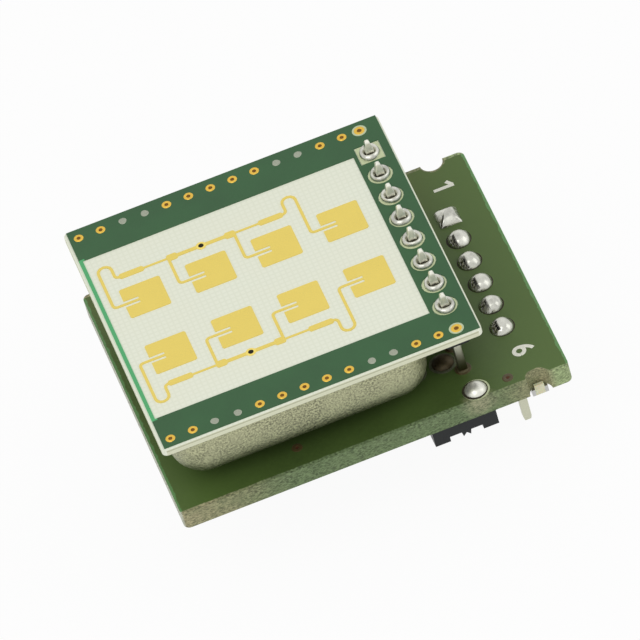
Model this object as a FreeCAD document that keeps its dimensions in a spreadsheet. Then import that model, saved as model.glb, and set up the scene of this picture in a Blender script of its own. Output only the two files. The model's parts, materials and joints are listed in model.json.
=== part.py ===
import FreeCAD, Part
import math
import os

import Sketcher

# Microwave radar sensor module, in millimetres.
#
# An antenna board with a shield can on its back stands on eight pins above a carrier board. The
# carrier holds the signal electronics on its underside and is plugged in by a row of six pins.
#
# Origin: middle of the row of six output pins, on the seating face of their insulator.
# +Z points out of the antenna, +X from the antenna board to the output pins' edge of the carrier.

SIZES = {
    # sides of small round features
    "hole_sides": 8,
    "small_sides": 12,
    "pad_sides": 16,
    "bend_steps": 3,
    "same_place": 1e-6,
    # pins and insulators
    "pin_pitch": 2.54,
    "pin_side": 0.64,
    "pin_tip_side": 0.34,
    "pin_taper": 0.6,
    "pin_play": 0.02,
    "pin_hole": 1.0,
    "insulator_height": 2.54,
    "insulator_depth": 2.5,
    "insulator_chamfer": 0.45,
    "output_ways": 6,
    "output_drop": 5.7,
    "output_rise": 0.35,
    "stack_ways": 8,
    "stack_margin": 3.61,
    "stack_offset": 3.97,
    "stack_rise": 1.35,
    "stack_drop": 0.5,
    # carrier board
    "carrier_length": 30.5,
    "carrier_width": 25.0,
    "carrier_thick": 1.6,
    "carrier_corner": 0.5,
    "edge_margin": 3.2,
    "notch_radius": 0.88,
    "notch_offset": 0.7,
    "board_gap": 6.2,
    # antenna board, as wide as the carrier, and its solder mask
    "rf_length": 25.0,
    "rf_thick": 0.5,
    "rf_corner": 0.45,
    "header_margin": 1.72,
    "mask_thick": 0.06,
    "mask_margin": 0.25,
    "mask_end": 0.12,
    "mask_back": 0.06,
    "window_strip": 0.28,
    "window_gap": 1.25,
    "ground_border": 3.45,
    "opening_gap": 0.04,
    # patch arrays: places and lengths as shares of the antenna board's length or width
    "patch_share": 0.128,
    "pitch_share": 0.208,
    "first_share": 0.3552,
    "row_share": 0.128,
    "inset_share": 0.046,
    "standoff_share": 0.034,
    "bus_share": 0.2448,
    "loop_share": 0.0412,
    "top_share": 0.3064,
    "bar_share": 0.0768,
    # patch arrays: thicknesses, widths and small lengths
    "copper_thick": 0.04,
    "patch_corner": 0.12,
    "patch_count": 4,
    "inset_width": 0.66,
    "line_width": 0.22,
    "link_width": 0.18,
    "bus_width": 0.33,
    "feed_bend": 0.28,
    "bar_width": 0.54,
    "bar_gap": 0.3,
    "tee_length": 0.72,
    "tee_width": 0.66,
    "feed_ring": 0.75,
    "feed_hole": 0.42,
    "feed_wall": 0.06,
    # vias along the antenna board's two ground edges
    "via_count": 13,
    "via_margin": 0.96,
    "via_end": 3.1,
    "via_inset": 1.02,
    "via_ring": 0.73,
    "via_hole": 0.3,
    "via_filling": 0.66,
    "via_thick": 0.03,
    "corner_via_gap": 1.4,
    "corner_via_ring": 1.0,
    "corner_via_hole": 0.36,
    # pads and solder collars of the pins between the boards
    "pad_size": 1.86,
    "fillet_foot": 1.4,
    "fillet_neck": 1.0,
    "fillet_rise": 0.45,
    "joint_foot": 1.5,
    "joint_rise": 0.4,
    "shoulder_share": 0.85,
    # solder of the output pins
    "dome_size": 1.75,
    "dome_rise": 0.62,
    "dome_drop": 0.4,
    "dome_inset": 0.42,
    "square_rise": 0.5,
    "square_drop": 0.425,
    "square_inset": 0.51,
    # shield can
    "can_clearance": 1.0,
    "can_room": 4.1,
    "can_wall": 0.3,
    "can_corner": 2.6,
    "can_edge": 2.4,
    "can_inset": 0.85,
    "cavity_bevel": 0.7,
    # trimmer
    "trimmer_side": 5.0,
    "trimmer_height": 1.45,
    "trimmer_standoff": 0.6,
    "trimmer_foot": 0.3,
    "trimmer_offset": 5.35,
    "trimmer_setback": 0.65,
    "rail_width": 1.2,
    "rail_depth": 0.45,
    "mark_width": 0.75,
    "mark_tip": 0.57,
    "mark_length": 0.5,
    "mark_notch": 0.3,
    "base_side": 4.4,
    "base_thick": 0.4,
    "cavity_play": 0.05,
    "rotor_flange": 3.4,
    "rotor_flange_thick": 0.3,
    "rotor_knob": 2.2,
    "rotor_reach": 0.35,
    "slot_width": 0.5,
    "slot_depth": 0.4,
    "leg_width": 0.5,
    "leg_rise": 0.35,
    "leg_dome": 1.5,
    "leg_dome_rise": 0.7,
    "leg_dome_drop": 0.49,
    "leg_dome_inset": 0.375,
    "leg_hole": 0.9,
    "wiper_leg_x": 1.55,
    "wiper_leg_y": 2.07,
    "near_leg_x": 0.2,
    "far_leg_x": 2.15,
    "end_leg_y": 1.7,
    # indicator lights
    "light_length": 2.0,
    "light_width": 1.25,
    "light_thick": 0.6,
    "light_setback": 0.46,
    "light_end": 0.25,
    "window_length": 0.26,
    "window_rise": 0.35,
    # chips under the carrier
    "chip_gap": 0.1,
    "lead_thick": 0.15,
    "processor_length": 6.5,
    "processor_width": 4.4,
    "processor_height": 1.0,
    "processor_span": 6.4,
    "processor_leads": 20,
    "processor_pitch": 0.65,
    "processor_lead_width": 0.25,
    "processor_gap": 0.9,
    "processor_place": 0.14,
    "amplifier_length": 4.9,
    "amplifier_width": 3.9,
    "amplifier_height": 1.45,
    "amplifier_span": 6.0,
    "amplifier_leads": 8,
    "amplifier_pitch": 1.27,
    "amplifier_lead_width": 0.42,
    "amplifier_gap": 1.3,
    "amplifier_place": -0.18,
    "regulator_length": 2.9,
    "regulator_width": 1.6,
    "regulator_height": 1.1,
    "regulator_span": 2.8,
    "regulator_leads": 6,
    "regulator_pitch": 0.95,
    "regulator_lead_width": 0.35,
    "regulator_gap": 2.5,
    "regulator_place": 0.24,
    # chip capacitors and resistors
    "chip_length": 1.6,
    "chip_width": 0.8,
    "chip_end": 0.3,
    "capacitor_height": 0.8,
    "capacitor_count": 4,
    "capacitor_pitch": 1.7,
    "capacitor_place": -0.26,
    "resistor_height": 0.45,
    "resistor_count": 6,
    "resistor_pitch": 1.7,
    "resistor_setback": 1.6,
    # parts inside the can
    "transceiver_side": 5.0,
    "transceiver_height": 0.85,
    "inner_count": 5,
    "inner_pitch": 1.9,
    "inner_x": 2.4,
}

doc = FreeCAD.newDocument("radar_sensor_module")
sheet = doc.addObject("Spreadsheet::Sheet", "Sizes")
for row, (alias, value) in enumerate(SIZES.items(), start=1):
    sheet.set("A%d" % row, alias)
    sheet.set("B%d" % row, str(value))
    sheet.setAlias("B%d" % row, alias)
doc.recompute()

# Heights of the two boards, and places of the rows along X, as expressions of the sheet.
UNDERSIDE = "Sizes.insulator_height"
TOPSIDE = UNDERSIDE + " + Sizes.carrier_thick"
RF_BACK = TOPSIDE + " + Sizes.board_gap"
RF_FACE = RF_BACK + " + Sizes.rf_thick"
CARRIER_X = "Sizes.edge_margin - Sizes.carrier_length / 2"
STACK_X = "-Sizes.stack_offset"
RF_X = "(Sizes.header_margin - Sizes.stack_offset - Sizes.rf_length / 2)"
STACK_ON_RF = "(Sizes.rf_length / 2 - Sizes.header_margin)"
OUTPUT_START = "-(Sizes.output_ways - 1) / 2 * Sizes.pin_pitch"
STACK_PITCH = "((Sizes.carrier_width - 2 * Sizes.stack_margin) / (Sizes.stack_ways - 1))"
STACK_START = "(Sizes.stack_margin - Sizes.carrier_width / 2)"

# On the antenna board: the feed holes, the ground vias' pitch, and their runs in each row, given
# by the first place and the count.
FEED_X = ("(((Sizes.patch_count - 1) / 2 * Sizes.pitch_share - Sizes.first_share"
          " - Sizes.patch_share / 2 - Sizes.standoff_share) * Sizes.rf_length)")
FEED_Y = "(Sizes.bus_share * Sizes.carrier_width)"
FEED_BARREL = "(Sizes.feed_hole + 2 * Sizes.feed_wall)"
VIA_PITCH = "((Sizes.rf_length - Sizes.via_margin - Sizes.via_end) / (Sizes.via_count - 1))"
OPEN_VIAS = ((0, 2), (4, 5), (11, 2))
FILLED_VIAS = ((2, 2), (9, 2))
CORNER_VIAS = (("Sizes.via_count - 1 + Sizes.corner_via_gap / %s" % VIA_PITCH, 1),)

# The shield can keeps clear of the antenna board's edges, of the pins and of the carrier.
CAN_LENGTH = "(Sizes.rf_length - Sizes.can_inset - Sizes.can_room)"
CAN_WIDTH = "(Sizes.carrier_width - 2 * Sizes.can_inset)"
CAN_HEIGHT = "(Sizes.board_gap - Sizes.can_clearance)"

# The parts under the carrier stand one beside the other from its far short edge, and their places
# along Y are shares of its width.
RESISTOR_X = "(Sizes.edge_margin - Sizes.carrier_length + Sizes.resistor_setback)"
BESIDE_RESISTORS = "%s + Sizes.chip_length / 2" % RESISTOR_X
AMPLIFIER_X = "(%s + Sizes.amplifier_gap + Sizes.amplifier_span / 2)" % BESIDE_RESISTORS
REGULATOR_X = "(%s + Sizes.regulator_gap + Sizes.regulator_span / 2)" % BESIDE_RESISTORS
PROCESSOR_X = ("(%s + Sizes.amplifier_span / 2 + Sizes.processor_gap + Sizes.processor_span / 2)"
               % AMPLIFIER_X)

# The trimmer hangs under the carrier near its front edge: its middle, its rotor's cavity, and
# the places of its legs from that middle.
TRIMMER_X = "-Sizes.trimmer_offset"
TRIMMER_Y = "(Sizes.trimmer_setback + Sizes.trimmer_side / 2 - Sizes.carrier_width / 2)"
TRIMMER_FLOOR = "(Sizes.trimmer_height - Sizes.rail_depth)"
CAVITY = "(Sizes.base_thick + 2 * Sizes.cavity_play + Sizes.rotor_flange_thick)"
LIGHT_Y = "(Sizes.carrier_width / 2 - Sizes.light_setback - Sizes.light_length / 2)"
TRIMMER_LEGS = (
    ("wiper_leg", "Sizes.wiper_leg_x", "(-Sizes.wiper_leg_y)"),
    ("near_leg", "Sizes.near_leg_x", "Sizes.end_leg_y"),
    ("far_leg", "(-Sizes.far_leg_x)", "Sizes.end_leg_y"),
)


def number(expression):
    """The value of an expression of the sheet."""
    return float(sheet.evalExpression(str(expression)))


def size(alias):
    """The value of one cell of the sheet."""
    return float(sheet.get(alias))


def bind(thing, bindings):
    """Tie properties of an object to expressions."""
    for path, expression in bindings.items():
        thing.setExpression(path, str(expression))


def place(thing, x=0, y=0, z=0, hanging=False):
    """Set where a sub-part sits; a hanging one is turned upside down about X."""
    if hanging:
        thing.Placement = FreeCAD.Placement(
            FreeCAD.Vector(), FreeCAD.Rotation(FreeCAD.Vector(1, 0, 0), 180)
        )
    bind(thing, {"Placement.Base.x": x, "Placement.Base.y": y, "Placement.Base.z": z})


def new_body(label):
    """A body that may hold several separate solids, such as a row of pins."""
    body = doc.addObject("PartDesign::Body", label)
    body.Label = label
    body.AllowCompound = True
    return body


def datum(body, role):
    """One of the body's own origin planes or axes."""
    return next(part for part in body.Origin.OriginFeatures if part.Role == role)


def new_sketch(body, name, height=0, role="XY_Plane"):
    """A sketch on one of the body's origin planes, moved along that plane's normal."""
    sketch = body.newObject("Sketcher::SketchObject", body.Name + "_" + name)
    sketch.AttachmentSupport = (datum(body, role), [""])
    sketch.MapMode = "FlatFace"
    bind(sketch, {"AttachmentOffset.Base.z": height})
    return sketch


def dimension(sketch, name, kind, places, expression):
    """A named sketch constraint whose value follows an expression."""
    index = sketch.addConstraint(Sketcher.Constraint(kind, *places, number(expression)))
    sketch.renameConstraint(index, name)
    sketch.setExpression("Constraints." + name, str(expression))


def polygon(sketch, corners):
    """A closed outline; each corner is a pair of expressions, measured from the sketch's origin."""
    points = [FreeCAD.Vector(number(x), number(y), 0) for x, y in corners]
    first = sketch.GeometryCount
    last = first + len(points) - 1
    for index, point in enumerate(points):
        after = points[(index + 1) % len(points)]
        sketch.addGeometry(Part.LineSegment(point, after))
    for line in range(first, last + 1):
        following = line + 1 if line < last else first
        sketch.addConstraint(Sketcher.Constraint("Coincident", line, 2, following, 1))
    for line, (x, y) in enumerate(corners, start=first):
        dimension(sketch, "x%d" % line, "DistanceX", (-1, 1, line, 1), x)
        dimension(sketch, "y%d" % line, "DistanceY", (-1, 1, line, 1), y)


def rectangle(sketch, x, y, width, depth):
    """A rectangle given by its middle and its two sides."""
    left = "(%s) - (%s) / 2" % (x, width)
    right = "(%s) + (%s) / 2" % (x, width)
    low = "(%s) - (%s) / 2" % (y, depth)
    high = "(%s) + (%s) / 2" % (y, depth)
    polygon(sketch, [(left, low), (right, low), (right, high), (left, high)])


def circle(sketch, x, y, diameter):
    """A circle given by its middle and its diameter."""
    middle = FreeCAD.Vector(number(x), number(y), 0)
    index = sketch.addGeometry(Part.Circle(middle, FreeCAD.Vector(0, 0, 1), number(diameter) / 2))
    dimension(sketch, "x%d" % index, "DistanceX", (-1, 1, index, 3), x)
    dimension(sketch, "y%d" % index, "DistanceY", (-1, 1, index, 3), y)
    dimension(sketch, "d%d" % index, "Diameter", (index,), diameter)


def prism(body, name, x, y, z, diameter, height, sides="Sizes.small_sides", hole=False):
    """A many-sided prism or hole, for round features too small to show their flats."""
    kind = "PartDesign::SubtractivePrism" if hole else "PartDesign::AdditivePrism"
    feature = body.newObject(kind, body.Name + "_" + name)
    bind(feature, {
        "Placement.Base.x": x, "Placement.Base.y": y, "Placement.Base.z": z,
        "Polygon": sides, "Circumradius": "(%s) / 2" % diameter, "Height": height,
    })
    return feature


def pad(body, sketch, length, down=False):
    """Extrude a sketch along its normal, or against it."""
    feature = body.newObject("PartDesign::Pad", sketch.Name + "_pad")
    feature.Profile = sketch
    feature.Reversed = down
    bind(feature, {"Length": length})
    return feature


def pocket(body, sketch, length):
    """Cut a sketch out of the body, along the sketch's normal."""
    feature = body.newObject("PartDesign::Pocket", sketch.Name + "_pocket")
    feature.Profile = sketch
    feature.Reversed = True
    bind(feature, {"Length": length})
    return feature


def row_of(body, count, spacing, features=None, axis="Y_Axis"):
    """Repeat the whole body, or only some of its features, along one of its axes."""
    pattern = body.newObject("PartDesign::LinearPattern", body.Tip.Name + "_row")
    if features:
        pattern.Originals = features
    else:
        pattern.TransformMode = "Whole shape"
    pattern.Direction = (datum(body, axis), [""])
    pattern.Mode = "Spacing"
    bind(pattern, {"Occurrences": count, "Offset": spacing})
    body.Tip = pattern
    return pattern


def upright_edges(feature):
    """Names of a feature's straight edges that run along its own Z."""
    names = []
    for index, edge in enumerate(feature.Shape.Edges, start=1):
        along = edge.Vertexes[-1].Point - edge.Vertexes[0].Point
        slant = along.Length - abs(along.z)
        if edge.Curve.TypeId == "Part::GeomLine" and slant < size("same_place") < along.Length:
            names.append("Edge%d" % index)
    return names


def level_edges(feature, height):
    """Names of a feature's edges that lie at one height of its own Z."""
    names = []
    for index, edge in enumerate(feature.Shape.Edges, start=1):
        box = edge.BoundBox
        if max(abs(box.ZMin - height), abs(box.ZMax - height)) < size("same_place"):
            names.append("Edge%d" % index)
    return names


def rounded(body, feature, radius, height=None):
    """Round the upright edges of a feature, or those that lie at one height."""
    doc.recompute()
    names = upright_edges(feature) if height is None else level_edges(feature, number(height))
    fillet = body.newObject("PartDesign::Fillet", feature.Name + "_round")
    fillet.Base = (feature, names)
    bind(fillet, {"Radius": radius})
    return fillet


def bevelled(body, feature, heights, drop, inset):
    """Bevel the edges of a feature that lie at some heights, by a drop and an inset."""
    doc.recompute()
    names = [name for height in heights for name in level_edges(feature, number(height))]
    chamfer = body.newObject("PartDesign::Chamfer", feature.Name + "_bevel")
    chamfer.Base = (feature, names)
    chamfer.ChamferType = "Two distances"
    bind(chamfer, {"Size": drop, "Size2": inset})
    return chamfer


def make_antenna_board():
    """Microwave laminate with the pins' holes and the two plated feed holes."""
    body = new_body("antenna_board")
    outline = new_sketch(body, "outline")
    rectangle(outline, 0, 0, "Sizes.rf_length", "Sizes.carrier_width")
    plate = pad(body, outline, "Sizes.rf_thick")
    rounded(body, plate, "Sizes.rf_corner")
    hole = prism(body, "pin_hole", STACK_ON_RF, STACK_START, 0, "Sizes.pin_hole",
                 "Sizes.rf_thick", "Sizes.hole_sides", hole=True)
    row_of(body, "Sizes.stack_ways", STACK_PITCH, [hole])
    for name, side in (("upper", ""), ("lower", "-")):
        prism(body, name + "_feed_hole", FEED_X, side + FEED_Y, 0, FEED_BARREL,
              "Sizes.rf_thick", hole=True)
    place(body, RF_X, 0, RF_BACK)
    return body


def make_front_mask():
    """Solder mask over the ground border, open over the antennas and round the header pads."""
    body = new_body("front_mask")
    outline = new_sketch(body, "outline")
    far = "(Sizes.mask_margin - Sizes.rf_length / 2)"
    near = "(Sizes.rf_length / 2 - Sizes.mask_end)"
    front = "(Sizes.mask_margin - Sizes.carrier_width / 2)"
    back = "(Sizes.carrier_width / 2 - Sizes.mask_back)"
    rectangle(outline, "(%s + %s) / 2" % (far, near), "(%s + %s) / 2" % (front, back),
              "%s - %s" % (near, far), "%s - %s" % (back, front))
    left = "(%s + Sizes.window_strip)" % far
    right = "(%s - Sizes.window_gap)" % STACK_ON_RF
    rectangle(outline, "(%s + %s) / 2" % (left, right), 0, "%s - %s" % (right, left),
              "Sizes.carrier_width - 2 * Sizes.ground_border")
    pad(body, outline, "Sizes.mask_thick")
    opening = "(Sizes.pad_size + 2 * Sizes.opening_gap)"
    cut = prism(body, "round_opening", STACK_ON_RF, STACK_START, 0, opening,
                "Sizes.mask_thick", "Sizes.pad_sides", hole=True)
    row_of(body, "Sizes.stack_ways - 1", STACK_PITCH, [cut])
    square = new_sketch(body, "square_opening")
    rectangle(square, STACK_ON_RF, "-(%s)" % STACK_START, opening, opening)
    pocket(body, square, "Sizes.mask_thick")
    place(body, RF_X, 0, RF_FACE)
    return body


def bent_path(points, radii):
    """A line through points, with short chords in place of each bend between them."""
    steps = int(size("bend_steps"))
    path = [points[0]]
    for before, corner, after, radius in zip(points, points[1:], points[2:], radii):
        arriving = (corner - before).normalize()
        leaving = (after - corner).normalize()
        middle = corner + (leaving - arriving) * radius
        for step in range(steps + 1):
            turn = math.pi / 2 * step / steps
            point = middle - leaving * (radius * math.cos(turn)) + arriving * (radius * math.sin(turn))
            if (point - path[-1]).Length > size("same_place"):
                path.append(point)
    return path + [points[-1]]


def band(path, width):
    """The outline of a track of the given width along a path."""
    left = []
    right = []
    for index, point in enumerate(path):
        arriving = (point - path[max(index - 1, 0)]) if index else (path[1] - path[0])
        leaving = (path[index + 1] - point) if index + 1 < len(path) else arriving
        arriving = FreeCAD.Vector(arriving).normalize()
        leaving = FreeCAD.Vector(leaving).normalize()
        along = (arriving + leaving).normalize()
        across = FreeCAD.Vector(-along.y, along.x, 0) * (width / 2 / along.dot(arriving))
        left.append(point + across)
        right.append(point - across)
    return left + right[::-1]


def make_upper_array():
    """One sheet of copper: four inset-fed patches, their feed network and its plated feed hole.

    A bus runs past the row of patches. It is fed in its middle, ends in a tee over each of the
    two inner patches, and goes on through a matching bar and a loop to each outer patch.
    """
    length = size("rf_length")
    width = size("carrier_width")
    thick = size("copper_thick")
    half = size("patch_share") * length / 2
    row = size("row_share") * width
    bus = number(FEED_Y)
    top = size("top_share") * width
    bend = size("feed_bend")
    loop = size("loop_share") * length
    line = size("line_width")
    cut = size("patch_corner")

    def sheet_metal(corners, low=0.0, depth=thick):
        wire = Part.makePolygon([FreeCAD.Vector(x, y, low) for x, y in corners + corners[:1]])
        return Part.Face(wire).extrude(FreeCAD.Vector(0, 0, depth))

    def strip(x0, x1, y, across):
        low, high = y - across / 2, y + across / 2
        return sheet_metal([(x0, low), (x1, low), (x1, high), (x0, high)])

    def plate(x0, x1, y, across):
        low, high = y - across / 2, y + across / 2
        corners = [(x0, low + cut), (x0 + cut, low), (x1 - cut, low), (x1, low + cut),
                   (x1, high - cut), (x1 - cut, high), (x0 + cut, high), (x0, high - cut)]
        return sheet_metal(corners)

    def track(points, radii):
        path = bent_path([FreeCAD.Vector(x, y, 0) for x, y in points], radii)
        return sheet_metal([(point.x, point.y) for point in band(path, line)])

    def column(diameter, low, depth, sides):
        turns = [2 * math.pi * index / sides for index in range(sides)]
        x, reach = number(FEED_X), diameter / 2
        corners = [(x + reach * math.cos(turn), bus + reach * math.sin(turn)) for turn in turns]
        return sheet_metal(corners, low, depth)

    count = int(size("patch_count"))
    middles = [(size("pitch_share") * index - size("first_share")) * length for index in range(count)]
    drops = [middle - half - size("standoff_share") * length for middle in middles]
    ends = [middle - half + size("inset_share") * length for middle in middles]
    pieces = []
    for middle, end in zip(middles, ends):
        inset = strip(middle - half, end, row, size("inset_width"))
        patch = plate(middle - half, middle + half, row, size("patch_share") * width)
        pieces.append(patch.cut(inset))
    for drop, end in list(zip(drops, ends))[1:-1]:
        pieces.append(track([(drop, bus), (drop, row), (end, row)], [bend]))
    outer = ((drops[0], ends[0], drops[1], 1), (drops[-1], ends[-1], drops[-2], -1))
    for drop, end, tee, inward in outer:
        leg = drop + inward * loop
        bar_far = leg + inward * size("bar_gap")
        bar_near = bar_far + inward * size("bar_share") * length
        pieces.append(plate(*sorted((bar_far, bar_near)), bus, size("bar_width")))
        route = [(bar_far + inward * bend, bus), (leg, bus), (leg, top),
                 (drop, top), (drop, row), (end, row)]
        pieces.append(track(route, [bend, loop / 2, loop / 2, bend]))
        pieces.append(strip(*sorted((bar_near - inward * cut, tee)), bus, size("link_width")))
        tee_span = sorted((tee - inward * line / 2, tee + inward * size("tee_length")))
        pieces.append(plate(*tee_span, bus, size("tee_width")))
    pieces.append(strip(drops[1], drops[-2], bus, size("bus_width")))

    depth = size("rf_thick") + thick
    sides = int(size("small_sides"))
    pieces.append(column(size("feed_ring"), 0.0, thick, sides))
    pieces.append(column(number(FEED_BARREL), -size("rf_thick"), depth, sides))
    copper = pieces[0].multiFuse(pieces[1:])
    copper = copper.cut(column(size("feed_hole"), -size("rf_thick"), depth, sides)).removeSplitter()
    array = doc.addObject("Part::Feature", "upper_array")
    array.Shape = copper.Solids[0] if len(copper.Solids) == 1 else copper
    place(array, RF_X, 0, RF_FACE)
    return array


def make_lower_array(upper):
    """The mirror of the upper array across the board's middle."""
    array = doc.addObject("Part::Mirroring", "lower_array")
    array.Source = upper
    array.Normal = FreeCAD.Vector(0, 1, 0)
    return array


def make_vias(label, runs, ring, hole=None):
    """Plated rings in both edge rows; a run is its first place in the row and its count."""
    body = new_body(label)
    row = "(Sizes.carrier_width / 2 - Sizes.via_inset)"
    start = "(Sizes.via_margin - Sizes.rf_length / 2)"
    for index, (first, count) in enumerate(runs):
        x = "%s + (%s) * %s" % (start, first, VIA_PITCH)
        for edge, side in (("front", "-"), ("back", "")):
            name = "%s_run%d" % (edge, index)
            features = [prism(body, name, x, side + row, 0, ring, "Sizes.via_thick")]
            if hole:
                features.append(prism(body, name + "_hole", x, side + row, 0, hole,
                                      "Sizes.via_thick", "Sizes.hole_sides", hole=True))
            if count > 1:
                row_of(body, count, VIA_PITCH, features, "X_Axis")
    place(body, RF_X, 0, RF_FACE + " + Sizes.mask_thick")
    return body


def make_stack_pads():
    """Plated pads of the eight pins: a square one at pin 1 and round ones."""
    body = new_body("stack_pads")
    land = prism(body, "round", 0, STACK_START, 0, "Sizes.pad_size", "Sizes.copper_thick",
                 "Sizes.pad_sides")
    row_of(body, "Sizes.stack_ways - 1", STACK_PITCH, [land])
    square = new_sketch(body, "square")
    rectangle(square, 0, "-(%s)" % STACK_START, "Sizes.pad_size", "Sizes.pad_size")
    pad(body, square, "Sizes.copper_thick")
    hole = prism(body, "hole", 0, STACK_START, 0, "Sizes.pin_hole", "Sizes.copper_thick",
                 "Sizes.hole_sides", hole=True)
    row_of(body, "Sizes.stack_ways", STACK_PITCH, [hole])
    place(body, STACK_X, 0, RF_FACE)
    return body


def solder_joint(label, x, y, foot, rise, drop, inset, core, core_rise, sides=None):
    """A bevelled solder joint round the end of a square pin; it is square if no sides are given."""
    body = new_body(label)
    if sides:
        mound = prism(body, "mound", x, y, 0, foot, rise, sides)
    else:
        outline = new_sketch(body, "mound")
        rectangle(outline, x, y, foot, foot)
        mound = pad(body, outline, rise)
    bevelled(body, mound, [rise], drop, inset)
    head = new_sketch(body, "head")
    rectangle(head, x, y, core, core)
    pocket(body, head, core_rise)
    return body


def joined(label, bodies):
    """One sub-part made of separate solids that share its place."""
    group = doc.addObject("Part::Compound", label)
    group.Links = bodies
    return group


def make_collars(label, foot, rise, z, hanging=False):
    """Solder collars that climb the eight pins between the boards."""
    inset = "(%s - Sizes.fillet_neck) / 2" % foot
    body = solder_joint(label, 0, STACK_START, foot, rise, rise + " * Sizes.shoulder_share", inset,
                        "Sizes.pin_side", rise, "Sizes.small_sides")
    row_of(body, "Sizes.stack_ways", STACK_PITCH)
    place(body, STACK_X, 0, z, hanging)
    return body


def make_pins(label, start, count, pitch, x, low, high, blunt_top=False):
    """A row of square pins with drawn tips, from one height to another."""
    body = new_body(label)
    section = new_sketch(body, "section", low)
    rectangle(section, 0, start, "Sizes.pin_side", "Sizes.pin_side")
    shaft = pad(body, section, "(%s) - (%s)" % (high, low))
    inset = "(Sizes.pin_side - Sizes.pin_tip_side) / 2"
    bevelled(body, shaft, [low] if blunt_top else [low, high], "Sizes.pin_taper", inset)
    row_of(body, count, pitch)
    place(body, x, 0, 0)
    return body


def make_insulator(label, start, count, pitch, x, z):
    """Moulded strip of eight-sided blocks, one for each pin, with square holes."""
    body = new_body(label)
    block = new_sketch(body, "block")
    wide = "(Sizes.insulator_depth / 2)"
    narrow = "(%s - Sizes.insulator_chamfer)" % wide
    reach = "(%s / 2)" % pitch
    inner = "(%s - Sizes.insulator_chamfer)" % reach
    corners = [(narrow, "-" + reach), (wide, "-" + inner), (wide, inner), (narrow, reach)]
    corners += [("-" + across, along) for across, along in reversed(corners)]
    polygon(block, [(across, "%s + %s" % (start, along)) for across, along in corners])
    pad(body, block, "Sizes.insulator_height")
    hole = new_sketch(body, "hole")
    side = "Sizes.pin_side + 2 * Sizes.pin_play"
    rectangle(hole, 0, start, side, side)
    pocket(body, hole, "Sizes.insulator_height")
    row_of(body, count, pitch)
    place(body, x, 0, z)
    return body


def make_shield_can():
    """Deep-drawn can, open towards the antenna board, with large round edges."""
    outside = new_body("can_outside")
    outline = new_sketch(outside, "outline")
    rectangle(outline, 0, 0, CAN_LENGTH, CAN_WIDTH)
    block = pad(outside, outline, CAN_HEIGHT)
    walls = rounded(outside, block, "Sizes.can_corner")
    rounded(outside, walls, "Sizes.can_edge", height=CAN_HEIGHT)

    inside = new_body("can_inside")
    outline = new_sketch(inside, "outline")
    wide = "(%s / 2 - Sizes.can_wall)" % CAN_LENGTH
    deep = "(%s / 2 - Sizes.can_wall)" % CAN_WIDTH
    near = "(%s - Sizes.can_corner * Sizes.cavity_bevel)" % wide
    far = "(%s - Sizes.can_corner * Sizes.cavity_bevel)" % deep
    half = [(near, "-" + deep), (wide, "-" + far), (wide, far), (near, deep)]
    polygon(outline, half + [("-" + across, along) for across, along in reversed(half)])
    floor = "(%s - Sizes.can_wall)" % CAN_HEIGHT
    space = pad(inside, outline, floor)
    bevel = "Sizes.can_edge * Sizes.cavity_bevel"
    bevelled(inside, space, [floor], bevel, bevel)

    can = doc.addObject("Part::Cut", "shield_can")
    can.Base = outside
    can.Tool = inside
    x = "%s + (Sizes.can_inset - Sizes.can_room) / 2" % RF_X
    place(can, x, 0, RF_BACK, hanging=True)
    return can


def make_carrier_board():
    """Carrier with a half-round light notch in each long edge and the holes of pins and legs."""
    body = new_body("carrier_board")
    outline = new_sketch(body, "outline")
    rectangle(outline, CARRIER_X, 0, "Sizes.carrier_length", "Sizes.carrier_width")
    plate = pad(body, outline, "Sizes.carrier_thick")
    rounded(body, plate, "Sizes.carrier_corner")
    notches = new_sketch(body, "notches")
    for side in ("", "-"):
        edge = side + "Sizes.carrier_width / 2"
        circle(notches, "Sizes.notch_offset", edge, "2 * Sizes.notch_radius")
    pocket(body, notches, "Sizes.carrier_thick")
    rows = (("output", 0, OUTPUT_START, "Sizes.output_ways", "Sizes.pin_pitch"),
            ("stack", STACK_X, STACK_START, "Sizes.stack_ways", STACK_PITCH))
    for name, x, start, count, pitch in rows:
        hole = prism(body, name + "_hole", x, start, 0, "Sizes.pin_hole",
                     "Sizes.carrier_thick", "Sizes.hole_sides", hole=True)
        row_of(body, count, pitch, [hole])
    for name, x, y in TRIMMER_LEGS:
        prism(body, name + "_hole", "%s + %s" % (TRIMMER_X, x), "%s + %s" % (TRIMMER_Y, y), 0,
              "Sizes.leg_hole", "Sizes.carrier_thick", "Sizes.hole_sides", hole=True)
    place(body, 0, 0, UNDERSIDE)
    return body


def make_output_solder():
    """Round solder domes of the output pins, and a four-sided one on the square pad of pin 1."""
    domes = solder_joint("output_domes", 0, OUTPUT_START, "Sizes.dome_size", "Sizes.dome_rise",
                         "Sizes.dome_drop", "Sizes.dome_inset",
                         "Sizes.pin_side", "Sizes.output_rise", "Sizes.pad_sides")
    row_of(domes, "Sizes.output_ways - 1", "Sizes.pin_pitch")
    square = solder_joint("square_dome", 0, "-(%s)" % OUTPUT_START, "Sizes.dome_size",
                          "Sizes.square_rise", "Sizes.square_drop", "Sizes.square_inset",
                          "Sizes.pin_side", "Sizes.output_rise")
    group = joined("output_solder", [domes, square])
    place(group, 0, 0, TOPSIDE)
    return group


def place_trimmer(body):
    """Hang a piece of the trimmer at its place; its own frame has Z down."""
    place(body, TRIMMER_X, TRIMMER_Y, UNDERSIDE + " - Sizes.trimmer_standoff", hanging=True)


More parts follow.
